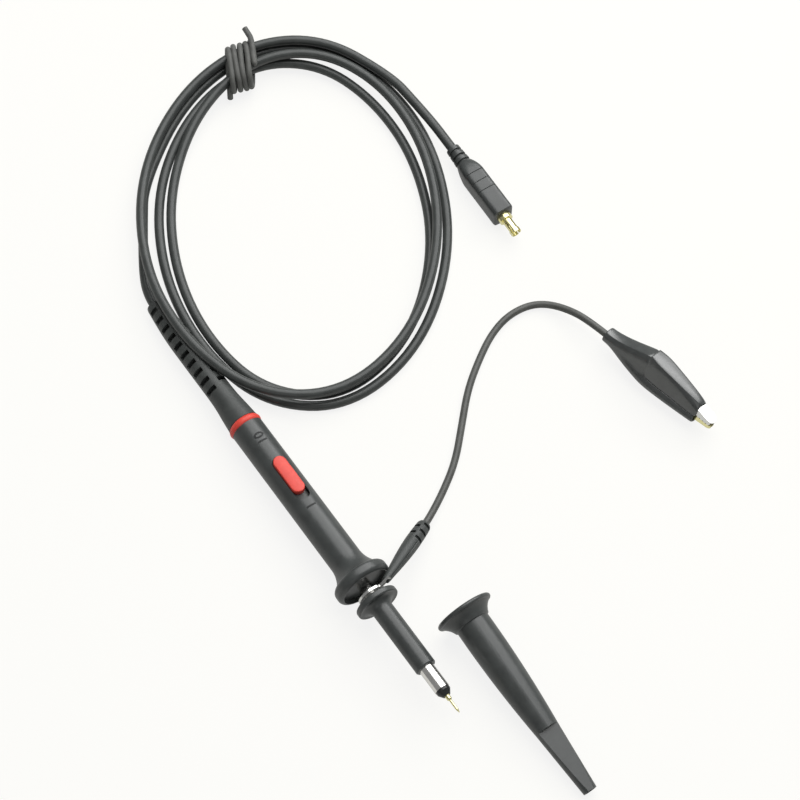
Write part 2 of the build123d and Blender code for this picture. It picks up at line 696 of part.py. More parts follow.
def jaw(side, nested):
    """A jaw bent from sheet: a channel with its back outwards, toothed edges and a round tip."""
    half = JAW_WIDTH / 2 - (JAW_SHEET + 0.1 if nested else 0.0)
    full = Pos(0, 0, -half) * extrude(jaw_profile(side, nested), 2 * half, dir=(0, 0, 1))
    tip = Pos(JAW_END - half, 0, 0) * Rot(90, 0, 0) * Cylinder(half, 30)
    full = full & (tip + block(0, JAW_END - half, -15, 15, -half, half))
    hollow = block(0, JAW_END + 5, -12, 12, JAW_SHEET - half, half - JAW_SHEET)
    back = (full & hollow) - Pos(0, -side * JAW_SHEET, 0) * full
    pin = Pos(*PIVOT_AT) * Cylinder(PIVOT_R + FIT, 20)
    return CLIP * ((full - hollow) + back - pin)


def clip_pin():
    return CLIP * Pos(*PIVOT_AT) * Cylinder(PIVOT_R, JAW_WIDTH + 0.6)


def clip_spring():
    """Torsion spring round the pin."""
    radius = PIVOT_R + SPRING_WIRE_R + 0.15
    pitch = 2 * SPRING_WIRE_R + 0.12
    wire = helix(SPRING_TURNS, radius, pitch, SPRING_WIRE_R)
    return CLIP * Pos(*PIVOT_AT, -pitch * SPRING_TURNS / 2) * Rot(0, -90, 0) * wire


def clip_crimp():
    """Crimp round the wire's end, with a tab to the fixed jaw's tail."""
    barrel = pipe(CRIMP_START, CRIMP_END, WIRE_R, CRIMP_OUTER_R)
    tail_x = PIVOT_AT[0] - JAW_BACK
    tab = block(CRIMP_END - 0.8, tail_x + 0.6, JAW_SHEET - JAW_TAIL_Y * LOWER_JAW_SHARE, -WIRE_R - 0.1,
                -JAW_SHEET / 2, JAW_SHEET / 2)
    return CLIP * (barrel + tab)


# ================================================================ hook tip
HOOK_SLOPE = math.asin((HOOK_RIM_R - HOOK_NOSE_R - 0.3) / HOOK_LENGTH)
HOOK = (Location((HOOK_X, HOOK_Y, HOOK_RIM_R * math.cos(HOOK_SLOPE)), (0, 0, HOOK_BEARING))
        * Location((0, 0, 0), (0, math.degrees(HOOK_SLOPE), 0)))
HOOK_SEAT = HOOK_TRUMPET + 16.5     # where the core's flange stops the spring
SPRING_ROOM = 14.0
SPRING_BORE = COIL_SPRING_R + COIL_SPRING_WIRE_R + 0.3
CORE_R = BARREL_R + SOCKET_WALL + CORE_WALL + SEAT


def hook_shell():
    """Grip of the hook tip: trumpet rim, tapered body and a flat on the nose."""
    bore = CORE_R + FIT
    nose_bore = CORE_TUBE_R + FIT
    chamber = HOOK_SEAT + SPRING_ROOM
    slide_end = HOOK_SEAT + HOOK_TRAVEL + PUSH_GAP
    edge = HOOK_RIM / 2
    body = turned((0, HOOK_RIM_R - HOOK_WALL - 0.4), (0, HOOK_RIM_R - edge),
                  ((edge, HOOK_RIM_R), (HOOK_RIM, HOOK_RIM_R - edge)),
                  ((HOOK_TRUMPET * 0.55, HOOK_NECK_R + (HOOK_RIM_R - HOOK_NECK_R) * 0.45),
                   (HOOK_TRUMPET, HOOK_NECK_R + 0.5)), (HOOK_TRUMPET + 0.3, HOOK_NECK_R),
                  (HOOK_WAIST, (HOOK_STEP, HOOK_STEP_R)), (HOOK_LENGTH, HOOK_NOSE_R),
                  (HOOK_LENGTH, nose_bore),
                  (chamber, nose_bore), (chamber, SPRING_BORE), (slide_end, SPRING_BORE),
                  (slide_end, bore), (HOOK_TRUMPET, bore))
    flat = block(HOOK_STEP, HOOK_LENGTH + 1, -9, 9, CORE_TUBE_R + FIT + 0.35, 9)
    return HOOK * (body - flat)


def hook_core():
    """Inner body: a socket for the probe's nose and a tube that guides the hook wire."""
    rear, seat = SOCKET_REAR, HOOK_SEAT
    socket_r = BARREL_R + SOCKET_WALL + SEAT
    socket_end = rear + SOCKET_DEPTH
    tube_end = HOOK_LENGTH - HOOK_TRAVEL - 1.0
    wire = HOOK_WIRE_R + SEAT
    return HOOK * turned((rear, socket_r), (rear, CORE_R), (seat, CORE_R), (seat, CORE_TUBE_R),
                         (tube_end, CORE_TUBE_R), (tube_end, wire), (socket_end, wire),
                         (socket_end, socket_r))


def hook_socket():
    """Metal liner of the socket, a running fit on the probe's barrel."""
    return HOOK * pipe(SOCKET_REAR, SOCKET_REAR + LINER_LENGTH, BARREL_R + FIT, BARREL_R + SOCKET_WALL)


def hook_wire():
    """Stiff wire along the core, bent to a hook that hides in the nose."""
    start = SOCKET_REAR + SOCKET_DEPTH
    bend_x = HOOK_LENGTH - 2.0 * HOOK_BEND_R - 1.0
    straight = [Line((start, 0, 0), (bend_x, 0, 0))]
    bow = ThreePointArc((bend_x, 0, 0), (bend_x + HOOK_BEND_R, 0, HOOK_BEND_R),
                        (bend_x, 0, 2 * HOOK_BEND_R))
    return HOOK * Pos(0, 0, 0) * swept(straight + [bow], HOOK_WIRE_R)


def hook_spring():
    """Compression spring between the core's flange and the shell."""
    pitch = (SPRING_ROOM - 4 * COIL_SPRING_WIRE_R) / COIL_SPRING_TURNS
    wire = helix(COIL_SPRING_TURNS, COIL_SPRING_R, pitch, COIL_SPRING_WIRE_R)
    return HOOK * Pos(HOOK_SEAT + 2 * COIL_SPRING_WIRE_R, 0, 0) * wire


# ================================================================ cable, coil and tie
def coil_point(turn, station):
    """A point of the coil's line: the oval, moved out and up as this turn lies."""
    angle = math.radians(COIL_FIRST - 360 / STATIONS * station)
    x, y = COIL_HALF_SHORT * math.cos(angle), COIL_HALF_LONG * math.sin(angle)
    grow = 1 + COIL_OUT[turn][station] / math.hypot(x, y)
    flat = Vector(x * grow, y * grow, 0).rotate(Axis.Z, COIL_BEARING)
    return flat + Vector(*COIL_CENTRE, COIL_HEIGHT[turn][station])


def coil_points():
    exit_point = HEAD.position
    backwards = (HEAD * Location((-2 * CABLE_R, 0, 0))).position
    points = [exit_point, backwards] + [Vector(p) for p in COIL_START]
    for turn, heights in enumerate(COIL_HEIGHT):
        points += [coil_point(turn, station) for station in range(len(heights))]
    return points


def coil_edges():
    points = coil_points()
    backwards = points[1] - points[0]
    last = Vector(LEAD_ROUTE[0]) - points[-1]
    straight = Line(points[0], points[1])
    return [straight] + [arc_edge(a) for a in wound_arcs(points[1:], backwards, last)]


def cable_coil():
    edges = coil_edges()
    gap = least_gap(edges, CABLE_R)
    length = Wire(edges).length
    solid = swept(edges, CABLE_R)
    print(f"cable_coil: length {length:.1f}, volume {solid.volume:.1f} of"
          f" {math.pi * CABLE_R ** 2 * length:.1f}, least gap to itself {gap:.2f}")
    return solid


PLUG = Location((PLUG_X, PLUG_Y, PLUG_HIGH / 2), (0, 0, PLUG_BEARING))


def lead_route():
    straight = (PLUG * Location((-2.5 * CABLE_R, 0, 0))).position
    return [coil_points()[-1]] + [Vector(p) for p in LEAD_ROUTE] + [straight, PLUG.position]


def plug_boot():
    """Moulded body of the plug with its segmented strain relief and grooves to grip."""
    small, large = PLUG_RELIEF_R
    full_x = PLUG_RELIEF + PLUG_SHOULDER
    bore = CABLE_R + SEAT
    well = PLUG_COLLAR_R + SEAT
    well_x = PLUG_FACE - 4.0
    crimp_x = PLUG_RELIEF + 2.0
    full_r = math.hypot(PLUG_WIDE, PLUG_HIGH) / 2 - PLUG_CORNER * (math.sqrt(2) - 1)
    body = turned((0, bore), (0, small), (PLUG_RELIEF, large),
                  ((PLUG_RELIEF + PLUG_SHOULDER * 0.35, large + (full_r - large) * 0.65), (full_x, full_r)),
                  (PLUG_FACE - 0.5, full_r), (PLUG_FACE, full_r - 0.5), (PLUG_FACE, well),
                  (well_x, well), (well_x, PLUG_CRIMP_R + SEAT), (crimp_x, PLUG_CRIMP_R + SEAT),
                  (crimp_x, bore))
    section = Plane.YZ.offset(-1) * RectangleRounded(PLUG_WIDE, PLUG_HIGH, PLUG_CORNER)
    body = body & extrude(section, PLUG_FACE + 2)
    cuts = []
    width, depth = PLUG_GROOVE
    for i in range(PLUG_GROOVES):
        x = PLUG_GROOVE_FIRST + i * PLUG_GROOVE_PITCH
        groove = block(x, x + width, -PLUG_WIDE, PLUG_WIDE, PLUG_HIGH / 2 - depth, PLUG_HIGH)
        cuts += [groove, Rot(180, 0, 0) * groove]
    for i in range(PLUG_RELIEF_SLOTS):
        x = PLUG_RELIEF_SLOT_FIRST + i * PLUG_RELIEF_SLOT_PITCH
        slot = block(x, x + PLUG_RELIEF_SLOT, -large, large, CABLE_R + 0.35, 2 * large)
        cuts += [Rot(90 * (i % 2) + turn, 0, 0) * slot for turn in (0, 180)]
    return PLUG * (body - cuts)


PLUG_FACE = PLUG_RELIEF + PLUG_BODY
PLUG_TIP = PLUG_FACE + PLUG_SHELL_LENGTH


def plug_shell():
    """Gold outer contact: a collar in the body, then slotted fingers with a ring at their ends."""
    bore = PLUG_SHELL_R - PLUG_SHELL_WALL
    rear = PLUG_FACE - 4.0
    collar_end = PLUG_FACE + PLUG_COLLAR
    ring = PLUG_TIP - PLUG_RING
    shell = turned((rear, bore), (rear, PLUG_COLLAR_R), (collar_end, PLUG_COLLAR_R),
                   (collar_end, PLUG_SHELL_R), (ring - 0.2, PLUG_SHELL_R), (ring, PLUG_RING_R),
                   (PLUG_TIP, PLUG_RING_R), (PLUG_TIP, bore))
    cuts = []
    for i in range(PLUG_SLOTS):
        slot = block(collar_end + 0.6, PLUG_TIP + 1, -PLUG_SLOT / 2, PLUG_SLOT / 2, 0.5, 4)
        cuts.append(Rot(45 + 360 / PLUG_SLOTS * i, 0, 0) * slot)
    return PLUG * (shell - cuts)


def plug_insulator():
    return PLUG * pipe(PLUG_FACE - 3.0, PLUG_FACE + 2.2, PLUG_PIN_R + SEAT, PLUG_INSULATOR_R)


def plug_pin():
    start, end = PLUG_FACE - 6.0, PLUG_TIP - 1.2
    return PLUG * turned((start, 0), (start, PLUG_PIN_R), (end - 0.4, PLUG_PIN_R), (end, 0.1), (end, 0))


def plug_crimp():
    """Crimp sleeve round the cable's end, inside the moulded body."""
    return PLUG * pipe(PLUG_RELIEF + 3.0, PLUG_FACE - 4.5, CABLE_R, PLUG_CRIMP_R)


def plug_cable():
    """The cable's end inside the plug."""
    return PLUG * rod(0, PLUG_FACE - 6.0, CABLE_R)


def tie_frame():
    """Frame at the tied place of the coil: X along the cable, Y outwards, Z up."""
    strands = [coil_point(turn, 1) for turn in range(len(COIL_OUT))]
    middle = sum(strands, Vector(0, 0, 0)) * (1 / len(strands))
    outwards = Vector(middle.X - COIL_CENTRE[0], middle.Y - COIL_CENTRE[1], 0).normalized()
    spread = [strand.dot(outwards) for strand in strands]
    centre = middle + outwards * ((min(spread) + max(spread)) / 2 - middle.dot(outwards))
    centre = Vector(centre.X, centre.Y, TIE_R + TIE_HALF_HIGH)
    return Plane(centre, x_dir=outwards.cross(Vector(0, 0, 1)), z_dir=(0, 0, 1))


def tie_stations():
    """Places and headings along the tie's wire, in the frame of the tied place."""
    wide, high = TIE_HALF_WIDE - TIE_HALF_HIGH, TIE_HALF_HIGH
    x = TIE_PITCH * TIE_TURNS / 2
    reach = TIE_HALF_WIDE + TIE_R + TIE_TAIL
    stations = [((x - 1.5, reach, high + 0.4), (0.1, -1, -0.05))]
    for _ in range(TIE_TURNS):
        for share, y, z, heading in ((0, wide, high, -1), (0.25, -wide, high, -1),
                                     (0.5, -wide, -high, 1), (0.75, wide, -high, 1)):
            stations.append(((x - share * TIE_PITCH, y, z), (-TIE_PITCH / 8 / wide, heading, 0)))
        x -= TIE_PITCH
    stations.append(((x, wide, high), (-TIE_PITCH / 8 / wide, -1, 0)))
    stations.append(((x - 0.6, -wide, high), (-TIE_PITCH / 8 / wide, -1, 0)))
    stations.append(((x - 1.0, -TIE_HALF_WIDE, 0), (0, 0, -1)))
    stations.append(((x - 1.0, -TIE_HALF_WIDE, -TIE_STUB), (0, 0, -1)))
    return stations


def cable_tie():
    """Covered wire wound round the bundle; its two ends stand off."""
    frame = tie_frame()
    stations = tie_stations()
    points = [frame.from_local_coords(Vector(p)) for p, _ in stations]
    origin = frame.from_local_coords(Vector(0, 0, 0))
    headings = [(frame.from_local_coords(Vector(t)) - origin).normalized() for _, t in stations]
    edges = [arc_edge(a) for a in bound_arcs(points, headings)]
    gap = least_gap(edges, TIE_R, 0.5)
    print(f"cable_tie: length {Wire(edges).length:.1f}, least gap to itself {gap:.2f}")
    return swept(edges, TIE_R)


# ================================================================ export
def build():
    head = {
        "rear_relief": rear_relief, "marker_ring": marker_ring, "handle_shell": handle_shell,
        "switch_knob": switch_knob, "switch_case": switch_case, "switch_terminals": terminals,
        "circuit_board": circuit_board, "trimmer_body": trimmer_body,
        "trimmer_rotor": trimmer_rotor, "nose_sleeve": nose_sleeve,
        "ground_barrel": ground_barrel, "tip_insulator": tip_insulator, "tip_needle": tip_needle,
        "input_resistor": input_resistor, "input_capacitor": input_capacitor,
        "cable_inside": cable_inside, "crimp_ferrule": crimp_ferrule,
    }
    parts = {}
    for name, make in head.items():
        shape = make()
        pieces = shape if isinstance(shape, list) else [shape]
        parts[name] = [ROLLED * piece for piece in pieces]
    ring = ground_ring()
    parts["ground_ring"] = [ring]
    parts["ground_boot"] = [ground_boot(ring)]
    parts["ground_wire"] = [routed("ground_wire", wire_route(), WIRE_R)]
    parts["clip_sleeve"] = [clip_sleeve()]
    parts["clip_lower_jaw"] = [jaw(-1, True)]
    parts["clip_upper_jaw"] = [jaw(1, False)]
    parts["clip_pin"] = [clip_pin()]
    parts["clip_spring"] = [clip_spring()]
    parts["clip_crimp"] = [clip_crimp()]
    parts["hook_shell"] = [hook_shell()]
    parts["hook_core"] = [hook_core()]
    parts["hook_socket"] = [hook_socket()]
    parts["hook_wire"] = [hook_wire()]
    parts["hook_spring"] = [hook_spring()]
    parts["cable_coil"] = [cable_coil()]
    parts["cable_lead"] = [routed("cable_lead", lead_route(), CABLE_R)]
    parts["cable_tie"] = [cable_tie()]
    parts["plug_boot"] = [plug_boot()]
    parts["plug_shell"] = [plug_shell()]
    parts["plug_insulator"] = [plug_insulator()]
    parts["plug_pin"] = [plug_pin()]
    parts["plug_crimp"] = [plug_crimp()]
    parts["plug_cable"] = [plug_cable()]
    return parts


def main():
    os.makedirs("parts", exist_ok=True)
    for name, pieces in build().items():
        solids = [solid for piece in pieces for solid in piece.solids()]
        shape = solids[0] if len(solids) == 1 else Compound(children=solids)
        export_step(shape, os.path.join("parts", f"{name}.step"))


if __name__ == "__main__":
    main()
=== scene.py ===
import json
import math

import bmesh
import bpy
from mathutils import Matrix, Vector


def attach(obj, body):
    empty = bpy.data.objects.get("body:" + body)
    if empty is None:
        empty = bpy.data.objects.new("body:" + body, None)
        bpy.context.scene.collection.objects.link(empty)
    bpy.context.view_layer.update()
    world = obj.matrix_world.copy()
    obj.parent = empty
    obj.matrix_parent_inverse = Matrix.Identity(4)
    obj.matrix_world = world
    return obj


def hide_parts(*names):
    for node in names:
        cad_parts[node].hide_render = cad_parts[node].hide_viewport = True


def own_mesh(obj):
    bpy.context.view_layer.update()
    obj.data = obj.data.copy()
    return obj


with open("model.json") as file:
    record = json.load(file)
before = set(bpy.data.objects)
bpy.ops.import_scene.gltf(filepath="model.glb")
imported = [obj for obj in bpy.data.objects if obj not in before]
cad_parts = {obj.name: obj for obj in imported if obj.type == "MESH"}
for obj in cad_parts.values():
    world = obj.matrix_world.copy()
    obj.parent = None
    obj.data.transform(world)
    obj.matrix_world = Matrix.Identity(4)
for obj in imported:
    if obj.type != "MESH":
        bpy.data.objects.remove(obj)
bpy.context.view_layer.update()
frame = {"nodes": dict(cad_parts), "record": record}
nodes = frame["nodes"]
MM = 0.001


# ---------------------------------------------------------------- shared helpers
def mm(*values):
    """A point given in millimetres."""
    return Vector(values) * MM


def add_object(name, data):
    """A new object in the scene."""
    made = bpy.data.objects.new(name, data)
    bpy.context.collection.objects.link(made)
    return made


def facing(place, aim):
    """Turn of a camera or light that looks from its place at its aim."""
    return (Vector(aim) - Vector(place)).to_track_quat("-Z", "Y").to_euler()


def add_node(tree, kind, inputs, **settings):
    """A new node; each input, by name or number, takes a value or another node's output."""
    node = tree.nodes.new(kind)
    for name, value in settings.items():
        setattr(node, name, value)
    for key, value in inputs.items():
        if isinstance(value, bpy.types.NodeSocket):
            tree.links.new(value, node.inputs[key])
        else:
            node.inputs[key].default_value = value
    return node


def quads(mesh, rows, closed):
    """Faces between rows of vertices."""
    for a, b in zip(rows, rows[1:]):
        count = len(a)
        for i in range(count if closed else count - 1):
            j = (i + 1) % count
            mesh.faces.new((a[i], a[j], b[j], b[i]))


def mesh_data(name, mesh):
    """Mesh data of a finished mesh, which is freed."""
    data = bpy.data.meshes.new(name)
    mesh.to_mesh(data)
    mesh.free()
    return data


def shade(data, sharp_from):
    """Smooth faces, with sharp edges from an angle in degrees."""
    data.shade_smooth()
    data.set_sharp_from_angle(angle=math.radians(sharp_from))


def evaluated_mesh(thing):
    """Mesh of an object with its modifiers worked out."""
    return bpy.data.meshes.new_from_object(thing.evaluated_get(bpy.context.evaluated_depsgraph_get()))


# ---------------------------------------------------------------- camera
CAMERA_AT = mm(231.5, -146.44, 676.94)
CAMERA_LOOKS_AT = mm(-33.86, 37.51, 0)
CAMERA_LENS = 103.85
CAMERA_SENSOR = 36.0
CAMERA_SEES = (0.01, 10.0)          # nearest and furthest, in metres


def place_camera():
    """The camera of the main view."""
    data = bpy.data.cameras.new("camera")
    data.lens = CAMERA_LENS
    data.sensor_width = CAMERA_SENSOR
    data.clip_start, data.clip_end = CAMERA_SEES
    camera = add_object("camera", data)
    camera.location = CAMERA_AT
    camera.rotation_euler = facing(CAMERA_AT, CAMERA_LOOKS_AT)
    bpy.context.scene.camera = camera


place_camera()


# ---------------------------------------------------------------- materials
CLOUD_RAMP = (0.35, 0.65)           # where a cloud's darker colour ends and its lighter one begins
GRAIN_DETAIL = 2.0
PLASTIC_CLOUD = (260.0, 4.0)        # scale and detail
PLASTIC_SHADES = (0.88, 1.12)       # darker and lighter than the colour
PLASTIC_GLOSS_SPREAD = (-0.06, 0.06)
METAL_CLOUD = (900.0, 5.0)
METAL_SHADES = (0.9, 1.0)
METAL_GLOSS_SPREAD = (-0.05, 0.08)
METAL_GRAIN, METAL_GRAIN_DEPTH = 4000.0, 0.004


def empty_material(name):
    """A material without nodes but its output, its tree and the output's socket."""
    material = bpy.data.materials.new(name)
    material.use_nodes = True
    tree = material.node_tree
    tree.nodes.clear()
    return material, tree, tree.nodes.new("ShaderNodeOutputMaterial").inputs[0]


def noise(tree, scale, detail):
    """Noise on the object's own coordinates, in metres."""
    place = tree.nodes.new("ShaderNodeTexCoord").outputs["Object"]
    inputs = {"Vector": place, "Scale": scale, "Detail": detail}
    return add_node(tree, "ShaderNodeTexNoise", inputs).outputs[0]


def cloudy_material(name, cloud, colours, roughness, grain, depth, shine):
    """Material with clouds in its colour and roughness and a grain whose depth is in millimetres."""
    material, tree, surface = empty_material(name)
    clouds = noise(tree, *cloud)
    ramp = add_node(tree, "ShaderNodeValToRGB", {"Fac": clouds})
    for element, position, colour in zip(ramp.color_ramp.elements, CLOUD_RAMP, colours):
        element.position = position
        element.color = (*colour, 1)
    rough = add_node(tree, "ShaderNodeMapRange", {
        "Value": clouds, "To Min": roughness[0], "To Max": roughness[1]})
    bump = add_node(tree, "ShaderNodeBump", {
        "Distance": depth * MM, "Height": noise(tree, grain, GRAIN_DETAIL)})
    shader = add_node(tree, "ShaderNodeBsdfPrincipled", {
        "Base Color": ramp.outputs[0], "Roughness": rough.outputs[0], "Normal": bump.outputs[0], **shine})
    tree.links.new(shader.outputs[0], surface)
    return material


def moulded_plastic(name, colour, roughness, grain=9000.0, depth=0.02, gloss=0.5):
    """Fine-grained moulded plastic, a little uneven in colour and gloss."""
    shades = [[min(1.0, c * share) for c in colour] for share in PLASTIC_SHADES]
    spread = [roughness + more for more in PLASTIC_GLOSS_SPREAD]
    return cloudy_material(name, PLASTIC_CLOUD, shades, spread, grain, depth, {"Specular IOR Level": gloss})


def plated_metal(name, colour, roughness):
    """Plated metal with faint handling marks."""
    shades = [[c * share for c in colour] for share in METAL_SHADES]
    spread = [roughness + more for more in METAL_GLOSS_SPREAD]
    return cloudy_material(name, METAL_CLOUD, shades, spread, METAL_GRAIN, METAL_GRAIN_DEPTH,
                           {"Metallic": 1.0})


# colour, roughness, scale of the grain, its depth, gloss
PLASTICS = {
    "body_plastic": ((0.059, 0.065, 0.063), 0.35, 7000.0, 0.008, 0.65),
    "soft_relief": ((0.062, 0.068, 0.065), 0.44),
    # the handle's numbers are near-black as painted shade, standing in for the shadow in engraved marks
    "mark_painted_shade": ((0.016, 0.018, 0.018), 0.6),
    "red_plastic": ((1.0, 0.085, 0.06), 0.42, 6000.0, 0.008),
    "cable_jacket": ((0.060, 0.066, 0.063), 0.34, 2000.0, 0.003),
    "wire_jacket": ((0.105, 0.108, 0.099), 0.4, 2000.0, 0.003),
    "tie_jacket": ((0.125, 0.128, 0.120), 0.6, 4000.0),
    "clip_rubber": ((0.066, 0.072, 0.070), 0.2, 500.0, 0.001, 1.0),
    "black_insulator": ((0.022, 0.024, 0.024), 0.3),
    "white_insulator": ((0.82, 0.81, 0.77), 0.4),
    "board": ((0.03, 0.18, 0.08), 0.35),
    "component": ((0.5, 0.36, 0.2), 0.35),
}
# colour, roughness
METALS = {
    "nickel": ((0.88, 0.87, 0.84), 0.16),
    "gold": ((0.97, 0.91, 0.50), 0.2),
    "steel": ((0.82, 0.82, 0.80), 0.22),
}
MATERIALS = {name: moulded_plastic(name, *look) for name, look in PLASTICS.items()}
MATERIALS.update((name, plated_metal(name, *look)) for name, look in METALS.items())
SLOT_OF = {part["node"]: part["material_slot"] for part in frame["record"]["subparts"]}


def dress_nodes():
    """Every CAD node takes its slot's material."""
    for name, node in nodes.items():
        node.data.materials.clear()
        node.data.materials.append(MATERIALS[SLOT_OF[name]])


dress_nodes()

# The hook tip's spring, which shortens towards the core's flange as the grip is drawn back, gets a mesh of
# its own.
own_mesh(nodes["hook_spring"])


# ---------------------------------------------------------------- cords
CORD_ORDER = 3
CORD_STEPS = 10                     # along each span of the route
CORD_AROUND = 7


def laid_cord(name, route, radius, material):
    """A cord on one smooth curve along its route."""
    data = bpy.data.curves.new(name, "CURVE")
    data.dimensions = "3D"
    spline = data.splines.new("NURBS")
    spline.points.add(len(route) - 1)
    for point, place in zip(spline.points, route):
        point.co = (*(Vector(place) * MM), 1)
    spline.order_u = CORD_ORDER
    spline.use_endpoint_u = True
    spline.resolution_u = CORD_STEPS
    data.bevel_depth = radius * MM
    data.bevel_resolution = CORD_AROUND
    data.use_fill_caps = True
    data.materials.append(material)
    return add_object(name, data)


def control_share(steps):
    """How much further out than its curve a ring of control points stands, for points on each turn."""
    return 1 / (0.75 + 0.25 * math.cos(2 * math.pi / steps))


# ---------------------------------------------------------------- cable route
CABLE_R = 1.65
COIL_CENTRE = Vector((-110.3, 47.3))
COIL_HALF_SHORT = 51.5
COIL_HALF_LONG = 70.7
COIL_BEARING = 55.3
COIL_FIRST = 170.0                  # bearing of the first point on the oval
COIL_STEPS = 12                     # points on each turn
# at six bearings of each turn: how far the cable leaves the oval, and how high it lies
COIL_OUT = (
    (-1.1, -4.4, -4.3, 0.6, 3.5, -7.0),
    (-5.5, -9.4, -12.8, -5.2, -0.4, -10.8),
    (-9.7, -9.7, -7.7, -3.0, 0.0, -2.4),
    (0.3, -3.5, -3.4),
)
COIL_HEIGHT = (
    (CABLE_R, 3.8, CABLE_R, CABLE_R, CABLE_R, CABLE_R),
    (CABLE_R, 3.8, CABLE_R, CABLE_R, CABLE_R, CABLE_R),
    (CABLE_R, 7.3, 5.7, 5.9, 5.9, 10.4),
    (5.5, 7.4, 5.1),
)
HEAD_EXIT = (-107.0, -10.2, 3.5)
CABLE_START = [HEAD_EXIT, (-110.3, -10.2, 3.34), (-119.0, -7.2, 2.0), (-136.5, 3.4, CABLE_R)]
CABLE_STOP = [(-122.5, 104.9, 4.9), (-111.5, 105.3, 4.7), (-103.92, 105.15, 4.35), (-99.8, 105.0, 4.35)]


def between(values, i, t):
    """A smooth value at the share t of the way from values[i] to values[i + 1]."""
    a, b = values[i], values[min(i + 1, len(values) - 1)]
    before, after = values[max(i - 1, 0)], values[min(i + 2, len(values) - 1)]
    slope_a, slope_b = (b - before) / 2, (after - a) / 2
    return ((2 * t ** 3 - 3 * t ** 2 + 1) * a + (t ** 3 - 2 * t ** 2 + t) * slope_a
            + (3 * t ** 2 - 2 * t ** 3) * b + (t ** 3 - t ** 2) * slope_b)


def coil_points():
    """Control points of the wound cable, on an oval that the turns leave in and out."""
    outs = [out for turn in COIL_OUT for out in turn]
    heights = [height for turn in COIL_HEIGHT for height in turn]
    fill = COIL_STEPS // len(COIL_OUT[0])
    bearing = Matrix.Rotation(math.radians(COIL_BEARING), 2)
    points = []
    for i in range((len(outs) - 1) * fill + 1):
        station, share = divmod(i / fill, 1)
        out = between(outs, int(station), share)
        height = max(CABLE_R, between(heights, int(station), share))
        angle = math.radians(COIL_FIRST - 360 / COIL_STEPS * i)
        on_oval = Vector((COIL_HALF_SHORT * math.cos(angle), COIL_HALF_LONG * math.sin(angle)))
        grow = control_share(COIL_STEPS) * (1 + out / on_oval.length)
        points.append((*(COIL_CENTRE + bearing @ (on_oval * grow)), height))
    return points


# ---------------------------------------------------------------- tie
TIE_R = 1.0
TIE_AT = Vector((-167.6, 64.4, 5.7))   # middle of the bundle
TIE_ALONG = Vector((0.26, 0.966, 0.0))
TIE_OUTWARDS = Vector((-0.878, 0.479, 0.0))   # the turns lie a little askew
TIE_TURNS = 4
TIE_PITCH = 2.1
TIE_HALF_WIDE = 8.1
TIE_HALF_HIGH = 4.7
TIE_STEPS = 12                      # points on each turn
TIE_FIRST_STEP, TIE_MORE_STEPS = 2, 6
TIE_ROUNDNESS = 0.8
TIE_SLACK, TIE_SLACK_BEAT = 0.25, 1.7      # hand-wound turns leave their oval
TIE_WANDER, TIE_WANDER_BEAT = 0.22, 0.9    # and their pitch
# along, outwards and up: the first end from the first turn, the last from the last turn's side
TIE_FIRST_END = ((-2.6, 11.4, 5.8), (-1.7, 9.4, 5.5), (-0.5, 6.6, 5.1))
TIE_LAST_END = ((-0.5, -0.5, -1.4), (-0.6, -1.0, -3.2))


def tie_route():
    """Wire wound tightly round the bundle; both ends stand off."""
    def rounded(value):
        return math.copysign(abs(value) ** TIE_ROUNDNESS, value)

    first = TIE_PITCH * TIE_TURNS / 2
    widen = control_share(TIE_STEPS)
    local = [(first + x, y, z) for x, y, z in TIE_FIRST_END]
    for i in range(TIE_FIRST_STEP, TIE_STEPS * TIE_TURNS + TIE_MORE_STEPS):
        angle = math.radians(180 - 360 / TIE_STEPS * i)
        half_wide = TIE_HALF_WIDE + TIE_SLACK * math.sin(i * TIE_SLACK_BEAT)
        local.append((first - TIE_PITCH * i / TIE_STEPS + TIE_WANDER * math.sin(i * TIE_WANDER_BEAT),
                      rounded(math.cos(angle)) * half_wide * widen,
                      rounded(math.sin(angle)) * TIE_HALF_HIGH * widen))
    last = local[-1][0]
    local += [(last + x, y - TIE_HALF_WIDE, z) for x, y, z in TIE_LAST_END]
    route = []
    for x, y, z in local:
        place = TIE_AT + TIE_ALONG * x + TIE_OUTWARDS * y
        route.append((place.x, place.y, max(TIE_R, place.z + z)))
    return route


tie = laid_cord("tie_wire", tie_route(), TIE_R, MATERIALS["tie_jacket"])
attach(tie, "probe")
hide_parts("cable_tie")


# ---------------------------------------------------------------- clip sleeve and lead wire
CLIP_AT = (-12.6, 105.1, 5.67)
CLIP_BEARING = 10.5
CLIP_ROLL = 72.0
CLIP_CREASE = 18.6                  # the front cap starts here, over the pivot
CLIP_MOUTH = 40.2
SLEEVE_WALL = 0.55
SLEEVE_LEVELS = 3                   # of smoothing
